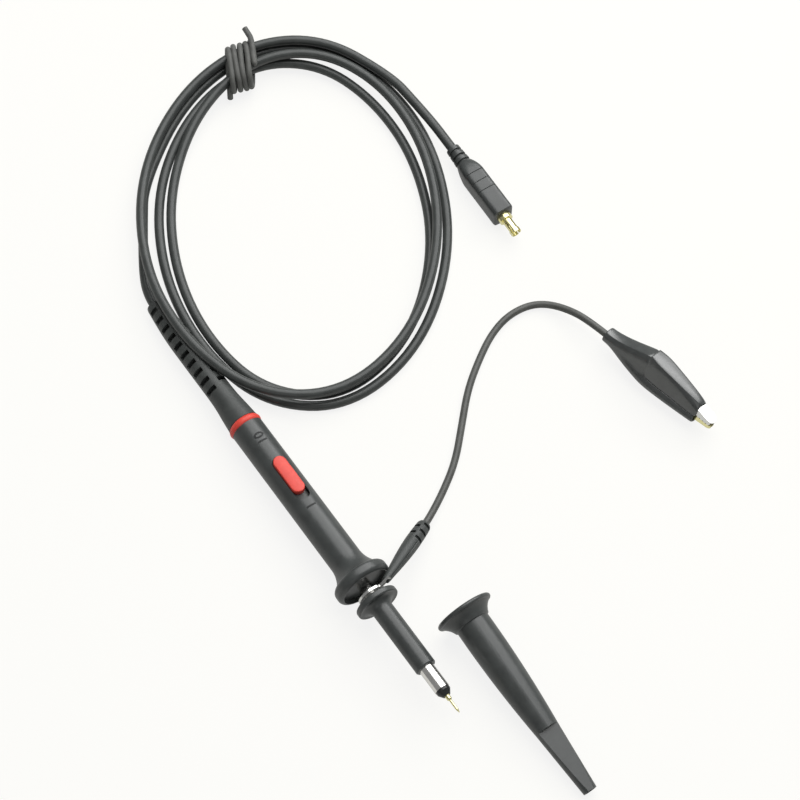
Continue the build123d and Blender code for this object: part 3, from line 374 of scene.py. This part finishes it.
# along, top, half flat top, shoulder and its height, split, bulge and its height, bottom
SLEEVE_STATIONS = (
    (0.0, 2.75, 1.7, 2.6, 1.3, 0.3, 2.75, -0.8, -2.7),
    (1.2, 2.6, 1.75, 2.45, 1.25, 0.3, 2.6, -0.8, -2.6),
    (4.0, 3.0, 1.9, 2.6, 1.6, 0.3, 2.75, -1.0, -2.8),
    (8.0, 4.2, 2.0, 2.85, 2.46, 0.3, 3.6, -1.8, -3.35),
    (12.0, 5.8, 2.1, 3.1, 3.8, 0.2, 4.5, -2.1, -4.05),
    (16.0, 7.5, 2.2, 3.4, 5.12, 0.0, 5.05, -2.4, -4.95),
    (CLIP_CREASE, 8.5, 2.3, 3.55, 5.84, 0.0, 5.3, -2.6, -5.4),
    (22.0, 8.15, 2.9, 3.5, 6.2, 0.0, 5.35, -2.6, -5.4),
    (26.0, 7.5, 2.6, 3.25, 5.69, 0.0, 5.15, -2.5, -5.1),
    (30.0, 6.75, 2.3, 3.0, 5.1, 0.0, 4.9, -2.4, -4.75),
    (35.0, 5.8, 1.85, 2.8, 4.31, 0.0, 4.45, -2.2, -4.35),
    (38.8, 5.0, 1.35, 2.65, 3.62, 0.0, 4.05, -2.1, -4.05),
    (CLIP_MOUTH, 4.4, 1.0, 2.5, 3.1, 0.0, 3.9, -2.0, -3.95),
)
SLEEVE_CROWN, SLEEVE_EDGE_DROP = 0.05, 0.1   # the top's middle is proud, its sides lie lower
SLEEVE_LIP_OUT = 0.2                # from the shoulder to the split
SLEEVE_KEEL_WIDE, SLEEVE_KEEL_HIGH = 0.45, 0.2   # share of the bulge, over the bottom
SPLIT = 3                           # the point of a half section where the lower lip begins
FLAT_COLUMNS = (1, 11)              # both sides of the flat top
FLAT_CREASE = 0.8
CAP_WALL = 0.35
CAP_PROUD = 0.14                    # the cap's top over the tail's
CAP_SHOULDER_PROUD = 0.1
CAP_TUCK = 0.25                     # its rear edge goes in by this much
CAP_OVERLAP = 0.5                   # and under the tail by this much
CAP_SEAM = (0.03, -0.1)             # out and up from the split
CAP_INNER = (-0.1, -0.2)            # the same, from inside the lip's wall
CAP_SKIRT_IN = -0.15
CAP_SKIRT = 0.35                    # depth of the skirt
CAP_SKIRT_AT_PIVOT = {22.0: 1.85, 26.0: 3.85}
CAP_COLUMNS = (2, 4, 6, 8)          # its folds: shoulders and seams
CAP_CREASE = 0.75


def clip_frame():
    """Place of the clip, with its jaws opening almost upright."""
    return (Matrix.Translation(mm(*CLIP_AT)) @ Matrix.Rotation(math.radians(CLIP_BEARING), 4, "Z")
            @ Matrix.Rotation(math.radians(CLIP_ROLL), 4, "X"))


def sleeve_half(station):
    """One half of a section, from the middle of its top to the middle of its bottom: (side, up)."""
    _, top, flat, shoulder, shoulder_y, split, bulge, bulge_y, bottom = station
    return [(0.0, top + SLEEVE_CROWN), (flat, top - SLEEVE_EDGE_DROP), (shoulder, shoulder_y),
            (shoulder + SLEEVE_LIP_OUT, split), (bulge, bulge_y),
            (bulge * SLEEVE_KEEL_WIDE, bottom + SLEEVE_KEEL_HIGH), (0.0, bottom)]


def crease_edges(mesh, wanted, value):
    """Sharper edges where wanted says so of their two vertices."""
    layer = mesh.edges.layers.float.get("crease_edge") or mesh.edges.layers.float.new("crease_edge")
    for edge in mesh.edges:
        if wanted(*edge.verts):
            edge[layer] = value


def crease_columns(mesh, rows, columns, value):
    """Sharper edges from row to row in these columns."""
    column = {vertex: i for row in rows for i, vertex in enumerate(row)}
    crease_edges(mesh, lambda a, b: column.get(a) == column.get(b) and column.get(a) in columns, value)


def sleeve_piece(name, mesh, wall):
    """A smooth piece of the sleeve from a coarse mesh, set in its place."""
    bmesh.ops.recalc_face_normals(mesh, faces=mesh.faces)
    data = mesh_data(name, mesh)
    data.transform(clip_frame())
    data.shade_smooth()
    data.materials.append(MATERIALS["clip_rubber"])
    piece = add_object(name, data)
    thick = piece.modifiers.new("wall", "SOLIDIFY")
    thick.thickness = wall * MM
    thick.offset = -1.0
    thick.use_even_offset = True
    smooth = piece.modifiers.new("smooth", "SUBSURF")
    smooth.levels = smooth.render_levels = SLEEVE_LEVELS
    return piece


def sleeve_rear():
    """Tail of the sleeve and its lower lip, round the fixed jaw."""
    mesh = bmesh.new()
    rings, lips = [], []
    for station in SLEEVE_STATIONS:
        x, half = station[0], sleeve_half(station)
        if x <= CLIP_CREASE:
            around = half + [(-z, y) for z, y in reversed(half[1:-1])]
            rings.append([mesh.verts.new(mm(x, y, z)) for z, y in around])
        else:
            low = half[SPLIT:] + [(-z, y) for z, y in reversed(half[SPLIT:-1])]
            lips.append([mesh.verts.new(mm(x, y, z)) for z, y in low])
    quads(mesh, rings, closed=True)
    quads(mesh, [rings[-1][SPLIT:SPLIT + len(lips[0])]] + lips, closed=False)
    crease_columns(mesh, rings, FLAT_COLUMNS, FLAT_CREASE)
    return sleeve_piece("clip_sleeve_rear", mesh, SLEEVE_WALL)


def sleeve_front():
    """Cap of the sleeve over the moving jaw, with skirts that stay inside the lower lip."""
    mesh = bmesh.new()
    rows = []
    for station in SLEEVE_STATIONS:
        x = station[0]
        if x < CLIP_CREASE:
            continue
        half = sleeve_half(station)
        shoulder_z, shoulder_y = half[SPLIT - 1]
        split_z, split_y = half[SPLIT]
        if x == CLIP_CREASE:
            shoulder_z -= CAP_TUCK
            shoulder_y -= CAP_SHOULDER_PROUD
            split_z -= CAP_TUCK
        else:
            shoulder_y += CAP_SHOULDER_PROUD
        inside = split_z - SLEEVE_WALL
        side = [(z, y + CAP_PROUD) for z, y in half[:2]]
        side += [(shoulder_z, shoulder_y),
                 (split_z + CAP_SEAM[0], split_y + CAP_SEAM[1]),
                 (inside + CAP_INNER[0], split_y + CAP_INNER[1]),
                 (inside + CAP_SKIRT_IN, split_y - CAP_SKIRT_AT_PIVOT.get(x, CAP_SKIRT))]
        across = [(-z, y) for z, y in reversed(side[1:])] + side
        if x == CLIP_CREASE:
            x -= CAP_OVERLAP
        rows.append([mesh.verts.new(mm(x, y, z)) for z, y in across])
    quads(mesh, rows, closed=False)
    crease_columns(mesh, rows, CAP_COLUMNS, CAP_CREASE)
    crease_edges(mesh, lambda a, b: a in rows[0] and b in rows[0], 1.0)
    return sleeve_piece("clip_sleeve_front", mesh, CAP_WALL)


rear, front = sleeve_rear(), sleeve_front()
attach(rear, "ground_lead")
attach(front, "clip_jaw")
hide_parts("clip_sleeve")
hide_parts("clip_sleeve")

WIRE_R = 1.2
WIRE_ROUTE = [
    (7.6, 18.3, 3.3),
    (6.16, 21.11, 2.05),
    (1.3, 29.6, WIRE_R),
    (-5.2, 39.2, WIRE_R),
    (-14.5, 48.3, WIRE_R),
    (-23.8, 57.3, WIRE_R),
    (-30.6, 66.6, WIRE_R),
    (-36.0, 75.6, WIRE_R),
    (-38.6, 84.6, WIRE_R),
    (-37.3, 93.8, WIRE_R),
    (-31.0, 100.0, 2.4),
    (-19.48, 103.82, 5.67),
    (-2.18, 107.03, 5.67),
]

wire = laid_cord("lead_wire", WIRE_ROUTE, WIRE_R, MATERIALS["wire_jacket"])
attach(wire, "ground_lead")
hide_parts("ground_wire")


# ---------------------------------------------------------------- plug body and cable
PLUG_AT = CABLE_STOP[-1]
PLUG_BEARING = -2.1
PLUG_HALF_WIDE, PLUG_HALF_HIGH = 3.7, 4.34
PLUG_RELIEF = 7.0                   # length of the relief with its collars
PLUG_NECK_R = 2.7                   # where the relief meets the shoulder
PLUG_SHOULDER = 6.0                 # length of the shoulder
PLUG_SHOULDER_STEPS = 10
PLUG_SWELL = 1.9                    # how fast the shoulder swells at the neck
ROUND, SQUARED = 2.0, 5.2           # squareness of a section
PLUG_FACE = 31.2
PLUG_WELL, PLUG_WELL_DEEP = 2.5, 1.5   # round the contact's collar
PLUG_GROOVES = (13.4, 17.2, 21.0)
PLUG_GROOVE_WIDE, PLUG_GROOVE_DEEP = 0.5, 0.28
PLUG_GROOVE_EDGE = 0.08
PLUG_GROOVE_REACH = 1.0             # how far the grooves run down the sides
PLUG_AROUND = 40
PLUG_SHARP_FROM = 38
# along and radius of the relief's collars
PLUG_COLLARS = (
    (0.0, 1.75), (0.0, 2.2), (0.15, 2.4), (1.5, 2.5), (1.65, 2.35), (1.7, 1.95),
    (2.3, 1.95), (2.35, 2.4), (2.5, 2.55), (3.9, 2.65), (4.05, 2.5), (4.1, 2.0),
    (4.7, 2.0), (4.75, 2.5), (4.9, 2.7), (6.2, 2.8), (6.35, 2.65), (6.4, 2.2),
    (PLUG_RELIEF - 0.1, 2.25), (PLUG_RELIEF, PLUG_NECK_R),
)
# before the face, how far in, squareness
PLUG_ROUNDING = ((0.7, 0.0, SQUARED), (0.2, 0.12, SQUARED), (0.0, 0.5, 5.0))


def plug_stations():
    """Along, half width, half height, squareness and groove depth of each section."""
    stations = [(x, r, r, ROUND, 0.0) for x, r in PLUG_COLLARS]
    for i in range(1, PLUG_SHOULDER_STEPS + 1):
        t = i / PLUG_SHOULDER_STEPS
        grow = t * (PLUG_SWELL - (PLUG_SWELL - 1) * t)
        stations.append((PLUG_RELIEF + PLUG_SHOULDER * t,
                         PLUG_NECK_R + (PLUG_HALF_WIDE - PLUG_NECK_R) * grow,
                         PLUG_NECK_R + (PLUG_HALF_HIGH - PLUG_NECK_R) * grow,
                         ROUND + (SQUARED - ROUND) * t, 0.0))
    for x in PLUG_GROOVES:
        far = x + PLUG_GROOVE_WIDE
        for place, sunk in ((x, 0.0), (x + PLUG_GROOVE_EDGE, PLUG_GROOVE_DEEP),
                            (far, PLUG_GROOVE_DEEP), (far + PLUG_GROOVE_EDGE, 0.0)):
            stations.append((place, PLUG_HALF_WIDE, PLUG_HALF_HIGH, SQUARED, sunk))
    for before, inset, square in PLUG_ROUNDING:
        stations.append((PLUG_FACE - before, PLUG_HALF_WIDE - inset, PLUG_HALF_HIGH - inset, square, 0.0))
    stations += [(x, PLUG_WELL, PLUG_WELL, ROUND, 0.0) for x in (PLUG_FACE, PLUG_FACE - PLUG_WELL_DEEP)]
    return stations


def plug_body():
    """Moulded plug: a relief with collars, a smooth shoulder and a squared body with grip grooves."""
    mesh = bmesh.new()
    rings = []
    for x, half_wide, half_high, square, groove in plug_stations():
        ring = []
        for i in range(PLUG_AROUND):
            angle = 2 * math.pi * i / PLUG_AROUND
            c, s = math.cos(angle), math.sin(angle)
            reach = (abs(c) ** square + abs(s) ** square) ** (-1 / square)
            side, up = half_wide * c * reach, half_high * s * reach
            if groove and up > half_high - PLUG_GROOVE_REACH:
                up -= groove
            ring.append(mesh.verts.new(mm(x, side, up)))
        rings.append(ring)
    quads(mesh, rings, closed=True)
    mesh.faces.new(rings[0])
    mesh.faces.new(rings[-1])
    bmesh.ops.triangulate(mesh, faces=[f for f in mesh.faces if len(f.verts) > 4])
    bmesh.ops.recalc_face_normals(mesh, faces=mesh.faces)
    data = mesh_data("plug_body", mesh)
    data.transform(Matrix.Translation(mm(*PLUG_AT)) @ Matrix.Rotation(math.radians(PLUG_BEARING), 4, "Z"))
    data.materials.append(MATERIALS["body_plastic"])
    shade(data, PLUG_SHARP_FROM)
    piece = add_object("plug_body", data)
    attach(piece, "probe")
    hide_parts("plug_boot")
    return piece


plug = plug_body()

cable = laid_cord("cable", CABLE_START + coil_points() + CABLE_STOP, CABLE_R, MATERIALS["cable_jacket"])
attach(cable, "probe")
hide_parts("cable_coil", "cable_lead")


# ---------------------------------------------------------------- the head's place
HEAD_TILT = 2.788
HEAD_ROLL = -9.0


def place_of_head(roll):
    """Place of the head, whose x runs from the cable's exit to the tip."""
    return (Matrix.Translation(mm(*HEAD_EXIT)) @ Matrix.Rotation(math.radians(-HEAD_TILT), 4, "Y")
            @ Matrix.Rotation(math.radians(roll), 4, "X"))


# ---------------------------------------------------------------- slotted reliefs
CUTTER_HIGH = 6.0
SLOT_ROWS = 4
SLOTTED_SHARP_FROM = 32


def turned_solid(name, profile, around, seam=None):
    """A turned solid along x, in millimetres; a seam's groove has start, stop, depth, bearing, half turn."""
    mesh = bmesh.new()
    rings = []
    for x, radius in profile:
        ring = []
        for i in range(around):
            turn = 360 * i / around
            angle = math.radians(turn)
            reach = radius
            if seam:
                start, stop, depth, bearing, half_turn = seam
                if start <= x <= stop and abs((turn - bearing + 180) % 360 - 180) < half_turn:
                    reach -= depth
            ring.append(mesh.verts.new((x, reach * math.sin(angle), reach * math.cos(angle))))
        rings.append(ring)
    quads(mesh, rings, closed=True)
    mesh.faces.new(rings[0])
    mesh.faces.new(rings[-1])
    bmesh.ops.recalc_face_normals(mesh, faces=mesh.faces)
    return add_object(name, mesh_data(name, mesh))


def slot_tree():
    """Node tree that cuts staggered rows of slots in a solid along x."""
    tree = bpy.data.node_groups.new("staggered_slots", "GeometryNodeTree")
    socket = tree.interface.new_socket
    socket("Geometry", in_out="OUTPUT", socket_type="NodeSocketGeometry")
    socket("Geometry", in_out="INPUT", socket_type="NodeSocketGeometry")
    socket("Slots", in_out="INPUT", socket_type="NodeSocketInt")
    for name in ("First", "Pitch", "Width", "Reach", "Reach Gain", "Floor", "Bearing"):
        socket(name, in_out="INPUT", socket_type="NodeSocketFloat")
    socket("Material", in_out="INPUT", socket_type="NodeSocketMaterial")
    given = tree.nodes.new("NodeGroupInput").outputs

    def maths(operation, *values):
        return add_node(tree, "ShaderNodeMath", dict(enumerate(values)), operation=operation).outputs[0]

    def vector(*values):
        return add_node(tree, "ShaderNodeCombineXYZ", dict(enumerate(values))).outputs[0]

    def geometry(kind, inputs, **settings):
        return add_node(tree, "GeometryNode" + kind, inputs, **settings).outputs[0]

    cutter = geometry("MeshCube", {"Size": vector(given["Width"], given["Reach"], CUTTER_HIGH)})
    raised = geometry("Transform", {
        "Geometry": cutter,
        "Translation": vector(0.0, 0.0, maths("ADD", given["Floor"], CUTTER_HIGH / 2))})
    index = tree.nodes.new("GeometryNodeInputIndex").outputs[0]
    gain = maths("MULTIPLY_ADD", index, given["Reach Gain"], 1.0)
    joined = tree.nodes.new("GeometryNodeJoinGeometry")
    for row in range(SLOT_ROWS):
        odd = float(row % 2)
        first = maths("MULTIPLY_ADD", given["Pitch"], odd / 2, given["First"])
        line = geometry("MeshLine", {
            "Count": maths("SUBTRACT", given["Slots"], odd),
            "Start Location": vector(first, 0.0, 0.0),
            "Offset": vector(given["Pitch"], 0.0, 0.0)})
        placed = geometry("InstanceOnPoints", {
            "Points": line, "Instance": raised, "Scale": vector(1.0, gain, 1.0)})
        bearing = maths("ADD", given["Bearing"], 2 * math.pi * row / SLOT_ROWS)
        turned = geometry("Transform", {"Geometry": placed, "Rotation": vector(bearing, 0.0, 0.0)})
        tree.links.new(turned, joined.inputs["Geometry"])
    cutters = geometry("RealizeInstances", {"Geometry": joined.outputs[0]})
    cut = geometry("MeshBoolean", {"Mesh 1": given["Geometry"], "Mesh 2": cutters},
                   operation="DIFFERENCE", solver="MANIFOLD")
    real = geometry("RealizeInstances", {"Geometry": cut})
    coloured = geometry("SetMaterial", {"Geometry": real, "Material": given["Material"]})
    tree.links.new(coloured, tree.nodes.new("NodeGroupOutput").inputs[0])
    return tree


SLOT_TREE = slot_tree()


def cut_slots(solid, sizes, place, body, node):
    """Cuts the solid's slots, sets it in its place and gives it to its body."""
    cutting = solid.modifiers.new("slots", "NODES")
    cutting.node_group = SLOT_TREE
    sizes = {**sizes, "Material": MATERIALS["soft_relief"]}
    for item in SLOT_TREE.interface.items_tree:
        if item.in_out == "INPUT" and item.name in sizes:
            cutting[item.identifier] = sizes[item.name]
    data = evaluated_mesh(solid)
    solid.modifiers.remove(cutting)
    solid.data = data
    data.transform(place @ Matrix.Scale(MM, 4))
    shade(data, SLOTTED_SHARP_FROM)
    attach(solid, body)
    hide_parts(node)


RELIEF_LENGTH = 54.0
RELIEF_END_R, RELIEF_SEAT_R = 2.95, 5.3
RELIEF_AROUND = 96
RELIEF_STEPS = 54
RELIEF_RIM = ((0.0, 0.35), (0.12, 0.1), (0.4, 0.0))   # along, and how far in from the end's radius
RELIEF_EVENED = (-2, -1, 0, 1, 2)   # the swell is the mean of its values at these distances
# share of the length, share of the swell from the end's radius to the seat's
RELIEF_SWELL = ((0.0, 0.0), (0.08, 0.20), (0.16, 0.37), (0.24, 0.50), (0.32, 0.55), (0.55, 0.55),
                (0.74, 0.54), (0.82, 0.60), (0.90, 0.80), (1.0, 1.0))
RELIEF_SLOTS = {"Slots": 10, "First": 3.3, "Pitch": 4.0, "Width": 1.65, "Reach": 3.3,
                "Reach Gain": 0.04, "Floor": 1.9, "Bearing": math.radians(42)}


def swell(x):
    """Share of the strain relief's swell at x."""
    share = min(1.0, max(0.0, x / RELIEF_LENGTH))
    for (a, u), (b, v) in zip(RELIEF_SWELL, RELIEF_SWELL[1:]):
        if a <= share <= b:
            return u + (v - u) * (share - a) / (b - a)


def relief():
    """Soft strain relief of the head, with four staggered rows of slots."""
    profile = [(x, RELIEF_END_R - inset) for x, inset in RELIEF_RIM]
    for i in range(1, RELIEF_STEPS + 1):
        x = RELIEF_LENGTH * i / RELIEF_STEPS
        share = sum(swell(x + d) for d in RELIEF_EVENED) / len(RELIEF_EVENED) if i < RELIEF_STEPS else 1.0
        profile.append((x, RELIEF_END_R + (RELIEF_SEAT_R - RELIEF_END_R) * share))
    solid = turned_solid("strain_relief", profile, RELIEF_AROUND)
    cut_slots(solid, RELIEF_SLOTS, place_of_head(roll=0.0), "probe", "rear_relief")


BOOT_START, BOOT_STOP = mm(19.44, -4.78, 13.6), mm(*WIRE_ROUTE[0])
BOOT_AROUND = 80
# along and radius
BOOT_PROFILE = ((0.0, 0.95), (0.1, 1.15), (1.5, 1.35), (4.0, 1.55), (7.0, 1.85), (10.0, 2.12), (13.0, 2.34),
                (16.0, 2.5), (19.0, 2.56), (22.0, 2.52), (25.0, 2.42), (26.8, 2.3), (27.5, 2.05), (27.9, 1.6))
BOOT_SEAM = (1.4, 16.4, 0.3, -42.0, 4.5)
BOOT_SLOTS = {"Slots": 3, "First": 19.7, "Pitch": 3.2, "Width": 1.05, "Reach": 3.1,
              "Reach Gain": -0.04, "Floor": 1.6, "Bearing": math.radians(41)}


def boot():
    """Moulded boot of the ground lead, from the ring's tab to the wire."""
    along = (BOOT_STOP - BOOT_START).normalized()
    up = (Vector((0, 0, 1)) - along * along.z).normalized()
    place = Matrix.Translation(BOOT_START) @ Matrix((along, up.cross(along), up)).transposed().to_4x4()
    solid = turned_solid("lead_boot", BOOT_PROFILE, BOOT_AROUND, BOOT_SEAM)
    cut_slots(solid, BOOT_SLOTS, place, "ground_lead", "ground_boot")


relief()
boot()


# ---------------------------------------------------------------- marks on the handle
HANDLE_R = 5.4
MARKS = (("mark_ten", "10", 63.8), ("mark_one", "1", 92.8))
MARK_HIGH = 4.6
MARK_PROUD = 0.1
MARK_SUNK = 0.02
MARK_BOLD = 0.08
MARK_CURVE_STEPS = 4
MARK_MERGE = 0.002
MARK_LONGEST, MARK_CUTS = 0.6, 2    # a longer edge is cut, so that it follows the round


def handle_mark(name, words, along):
    """A small raised number that follows the handle's round; its near-black colour is painted shade, standing
    in for the shadow in an engraved number.
    """
    text = bpy.data.curves.new(name, "FONT")
    text.body = words
    text.size = MARK_HIGH * MM
    text.align_x = "CENTER"
    text.align_y = "CENTER"
    text.extrude = MARK_PROUD * MM / 2
    text.offset = MARK_BOLD * MM
    text.resolution_u = MARK_CURVE_STEPS
    drawn = add_object(name + "_drawn", text)
    bpy.context.view_layer.update()
    data = evaluated_mesh(drawn)
    bpy.data.objects.remove(drawn)
    mesh = bmesh.new()
    mesh.from_mesh(data)
    bmesh.ops.remove_doubles(mesh, verts=mesh.verts, dist=MARK_MERGE * MM)
    long_edges = [e for e in mesh.edges if e.calc_length() > MARK_LONGEST * MM]
    bmesh.ops.subdivide_edges(mesh, edges=long_edges, cuts=MARK_CUTS)
    bmesh.ops.triangulate(mesh, faces=mesh.faces)
    radius = (HANDLE_R + MARK_PROUD / 2 - MARK_SUNK) * MM
    for vertex in mesh.verts:
        # the numbers read from the coil's side, from the tip to the cable
        across, up, out = vertex.co
        angle = -up / radius
        reach = radius + out
        vertex.co = (along * MM - across, math.sin(angle) * reach, math.cos(angle) * reach)
    bmesh.ops.recalc_face_normals(mesh, faces=mesh.faces)
    mesh.to_mesh(data)
    mesh.free()
    data.transform(place_of_head(HEAD_ROLL))
    data.name = name
    data.materials.clear()
    # painted shade: the dark colour stands in for the shadow of an engraving
    data.materials.append(MATERIALS["mark_painted_shade"])
    piece = add_object(name, data)
    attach(piece, "probe")


for mark in MARKS:
    handle_mark(*mark)


# ---------------------------------------------------------------- shutter under the slide knob
SHUTTER_STATIONS = (66.0, 66.4, 80.0, 93.2, 93.6)
SHUTTER_R = 4.15
SHUTTER_THICK = 0.3
SHUTTER_HALF_TURN = 36.0
SHUTTER_STEPS = 6                   # on each half turn


def knob_shutter():
    """Thin curved strip that slides with the knob and closes its opening from inside."""
    mesh = bmesh.new()
    rows = []
    for x in SHUTTER_STATIONS:
        row = []
        for i in range(-SHUTTER_STEPS, SHUTTER_STEPS + 1):
            angle = math.radians(SHUTTER_HALF_TURN * i / SHUTTER_STEPS)
            row.append(mesh.verts.new(mm(x, SHUTTER_R * math.sin(angle), SHUTTER_R * math.cos(angle))))
        rows.append(row)
    quads(mesh, rows, closed=False)
    for face in mesh.faces:
        face.normal_update()
        if face.normal.z < 0:
            face.normal_flip()
    data = mesh_data("knob_shutter", mesh)
    data.transform(place_of_head(HEAD_ROLL))
    data.materials.append(MATERIALS["soft_relief"])
    data.shade_smooth()
    piece = add_object("knob_shutter", data)
    thick = piece.modifiers.new("thick", "SOLIDIFY")
    thick.thickness = SHUTTER_THICK * MM
    thick.offset = -1.0
    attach(piece, "switch")


knob_shutter()


# ---------------------------------------------------------------- floor and light
FLOOR_HALF = 3.0
FLOOR_DROP = 0.0002
FLOOR_LIT = {"Base Color": (0.8, 0.8, 0.79, 1), "Roughness": 0.9, "Specular IOR Level": 0.1}
FLOOR_SHOWN = (0.16, 0.155, 0.125, 1)
FLOOR_GLOW, FLOOR_GLOW_IN_GLOSS = 0.85, 0.55
WORLD_LIGHT, WORLD_LIGHT_IN_GLOSS = 0.13, 0.25
WHITE = (1, 1, 1, 1)
# name, place, aim, size, power
LIGHTS = (
    ("softbox", (-0.28, 0.52, 0.95), (0, 0.03, 0), (1.35, 1.25), 13.2),
    ("back_strip", (-0.46, 0.94, 0.60), (0, 0.08, 0), (0.95, 0.36), 2.6),
    ("front_fill", (0.6, -0.5, 0.7), (0, 0, 0), (0.5, 0.5), 0.4),
)


def strength_by_ray(tree, path, plain, in_gloss):
    """A strength that is another one in reflections."""
    return add_node(tree, "ShaderNodeMapRange", {
        "Value": path["Is Glossy Ray"], "To Min": plain, "To Max": in_gloss}).outputs[0]


def make_floor():
    """Pale floor that shows white to the camera and keeps soft shadows."""
    half = FLOOR_HALF
    mesh = bpy.data.meshes.new("floor")
    mesh.from_pydata([(-half, -half, 0), (half, -half, 0), (half, half, 0), (-half, half, 0)],
                     [], [(0, 1, 2, 3)])
    floor = add_object("floor", mesh)
    floor.location.z = -FLOOR_DROP
    material, tree, surface = empty_material("floor")
    path = tree.nodes.new("ShaderNodeLightPath").outputs
    lit = add_node(tree, "ShaderNodeBsdfPrincipled", FLOOR_LIT)
    shown = add_node(tree, "ShaderNodeBsdfDiffuse", {"Color": FLOOR_SHOWN})
    glow = add_node(tree, "ShaderNodeEmission", {
        "Color": WHITE, "Strength": strength_by_ray(tree, path, FLOOR_GLOW, FLOOR_GLOW_IN_GLOSS)})
    both = add_node(tree, "ShaderNodeAddShader", {0: shown.outputs[0], 1: glow.outputs[0]})
    seen = path["Is Camera Ray"]
    for ray in ("Is Transmission Ray", "Is Glossy Ray"):
        seen = add_node(tree, "ShaderNodeMath", {0: seen, 1: path[ray]}, operation="MAXIMUM").outputs[0]
    choose = add_node(tree, "ShaderNodeMixShader", {0: seen, 1: lit.outputs[0], 2: both.outputs[0]})
    tree.links.new(choose.outputs[0], surface)
    mesh.materials.append(material)


def make_world():
    """Even white surroundings, a little brighter in reflections."""
    world = bpy.data.worlds.new("world")
    bpy.context.scene.world = world
    world.use_nodes = True
    tree = world.node_tree
    path = tree.nodes.new("ShaderNodeLightPath").outputs
    background = tree.nodes["Background"]
    background.inputs["Color"].default_value = WHITE
    strength = strength_by_ray(tree, path, WORLD_LIGHT, WORLD_LIGHT_IN_GLOSS)
    tree.links.new(strength, background.inputs["Strength"])


def area_light(name, place, aim, size, power):
    """A rectangular light that looks from its place at its aim."""
    data = bpy.data.lights.new(name, "AREA")
    data.shape = "RECTANGLE"
    data.size, data.size_y = size
    data.energy = power
    light = add_object(name, data)
    light.location = place
    light.rotation_euler = facing(place, aim)


make_floor()
make_world()
for light in LIGHTS:
    area_light(*light)
bpy.context.scene.view_settings.view_transform = "Standard"
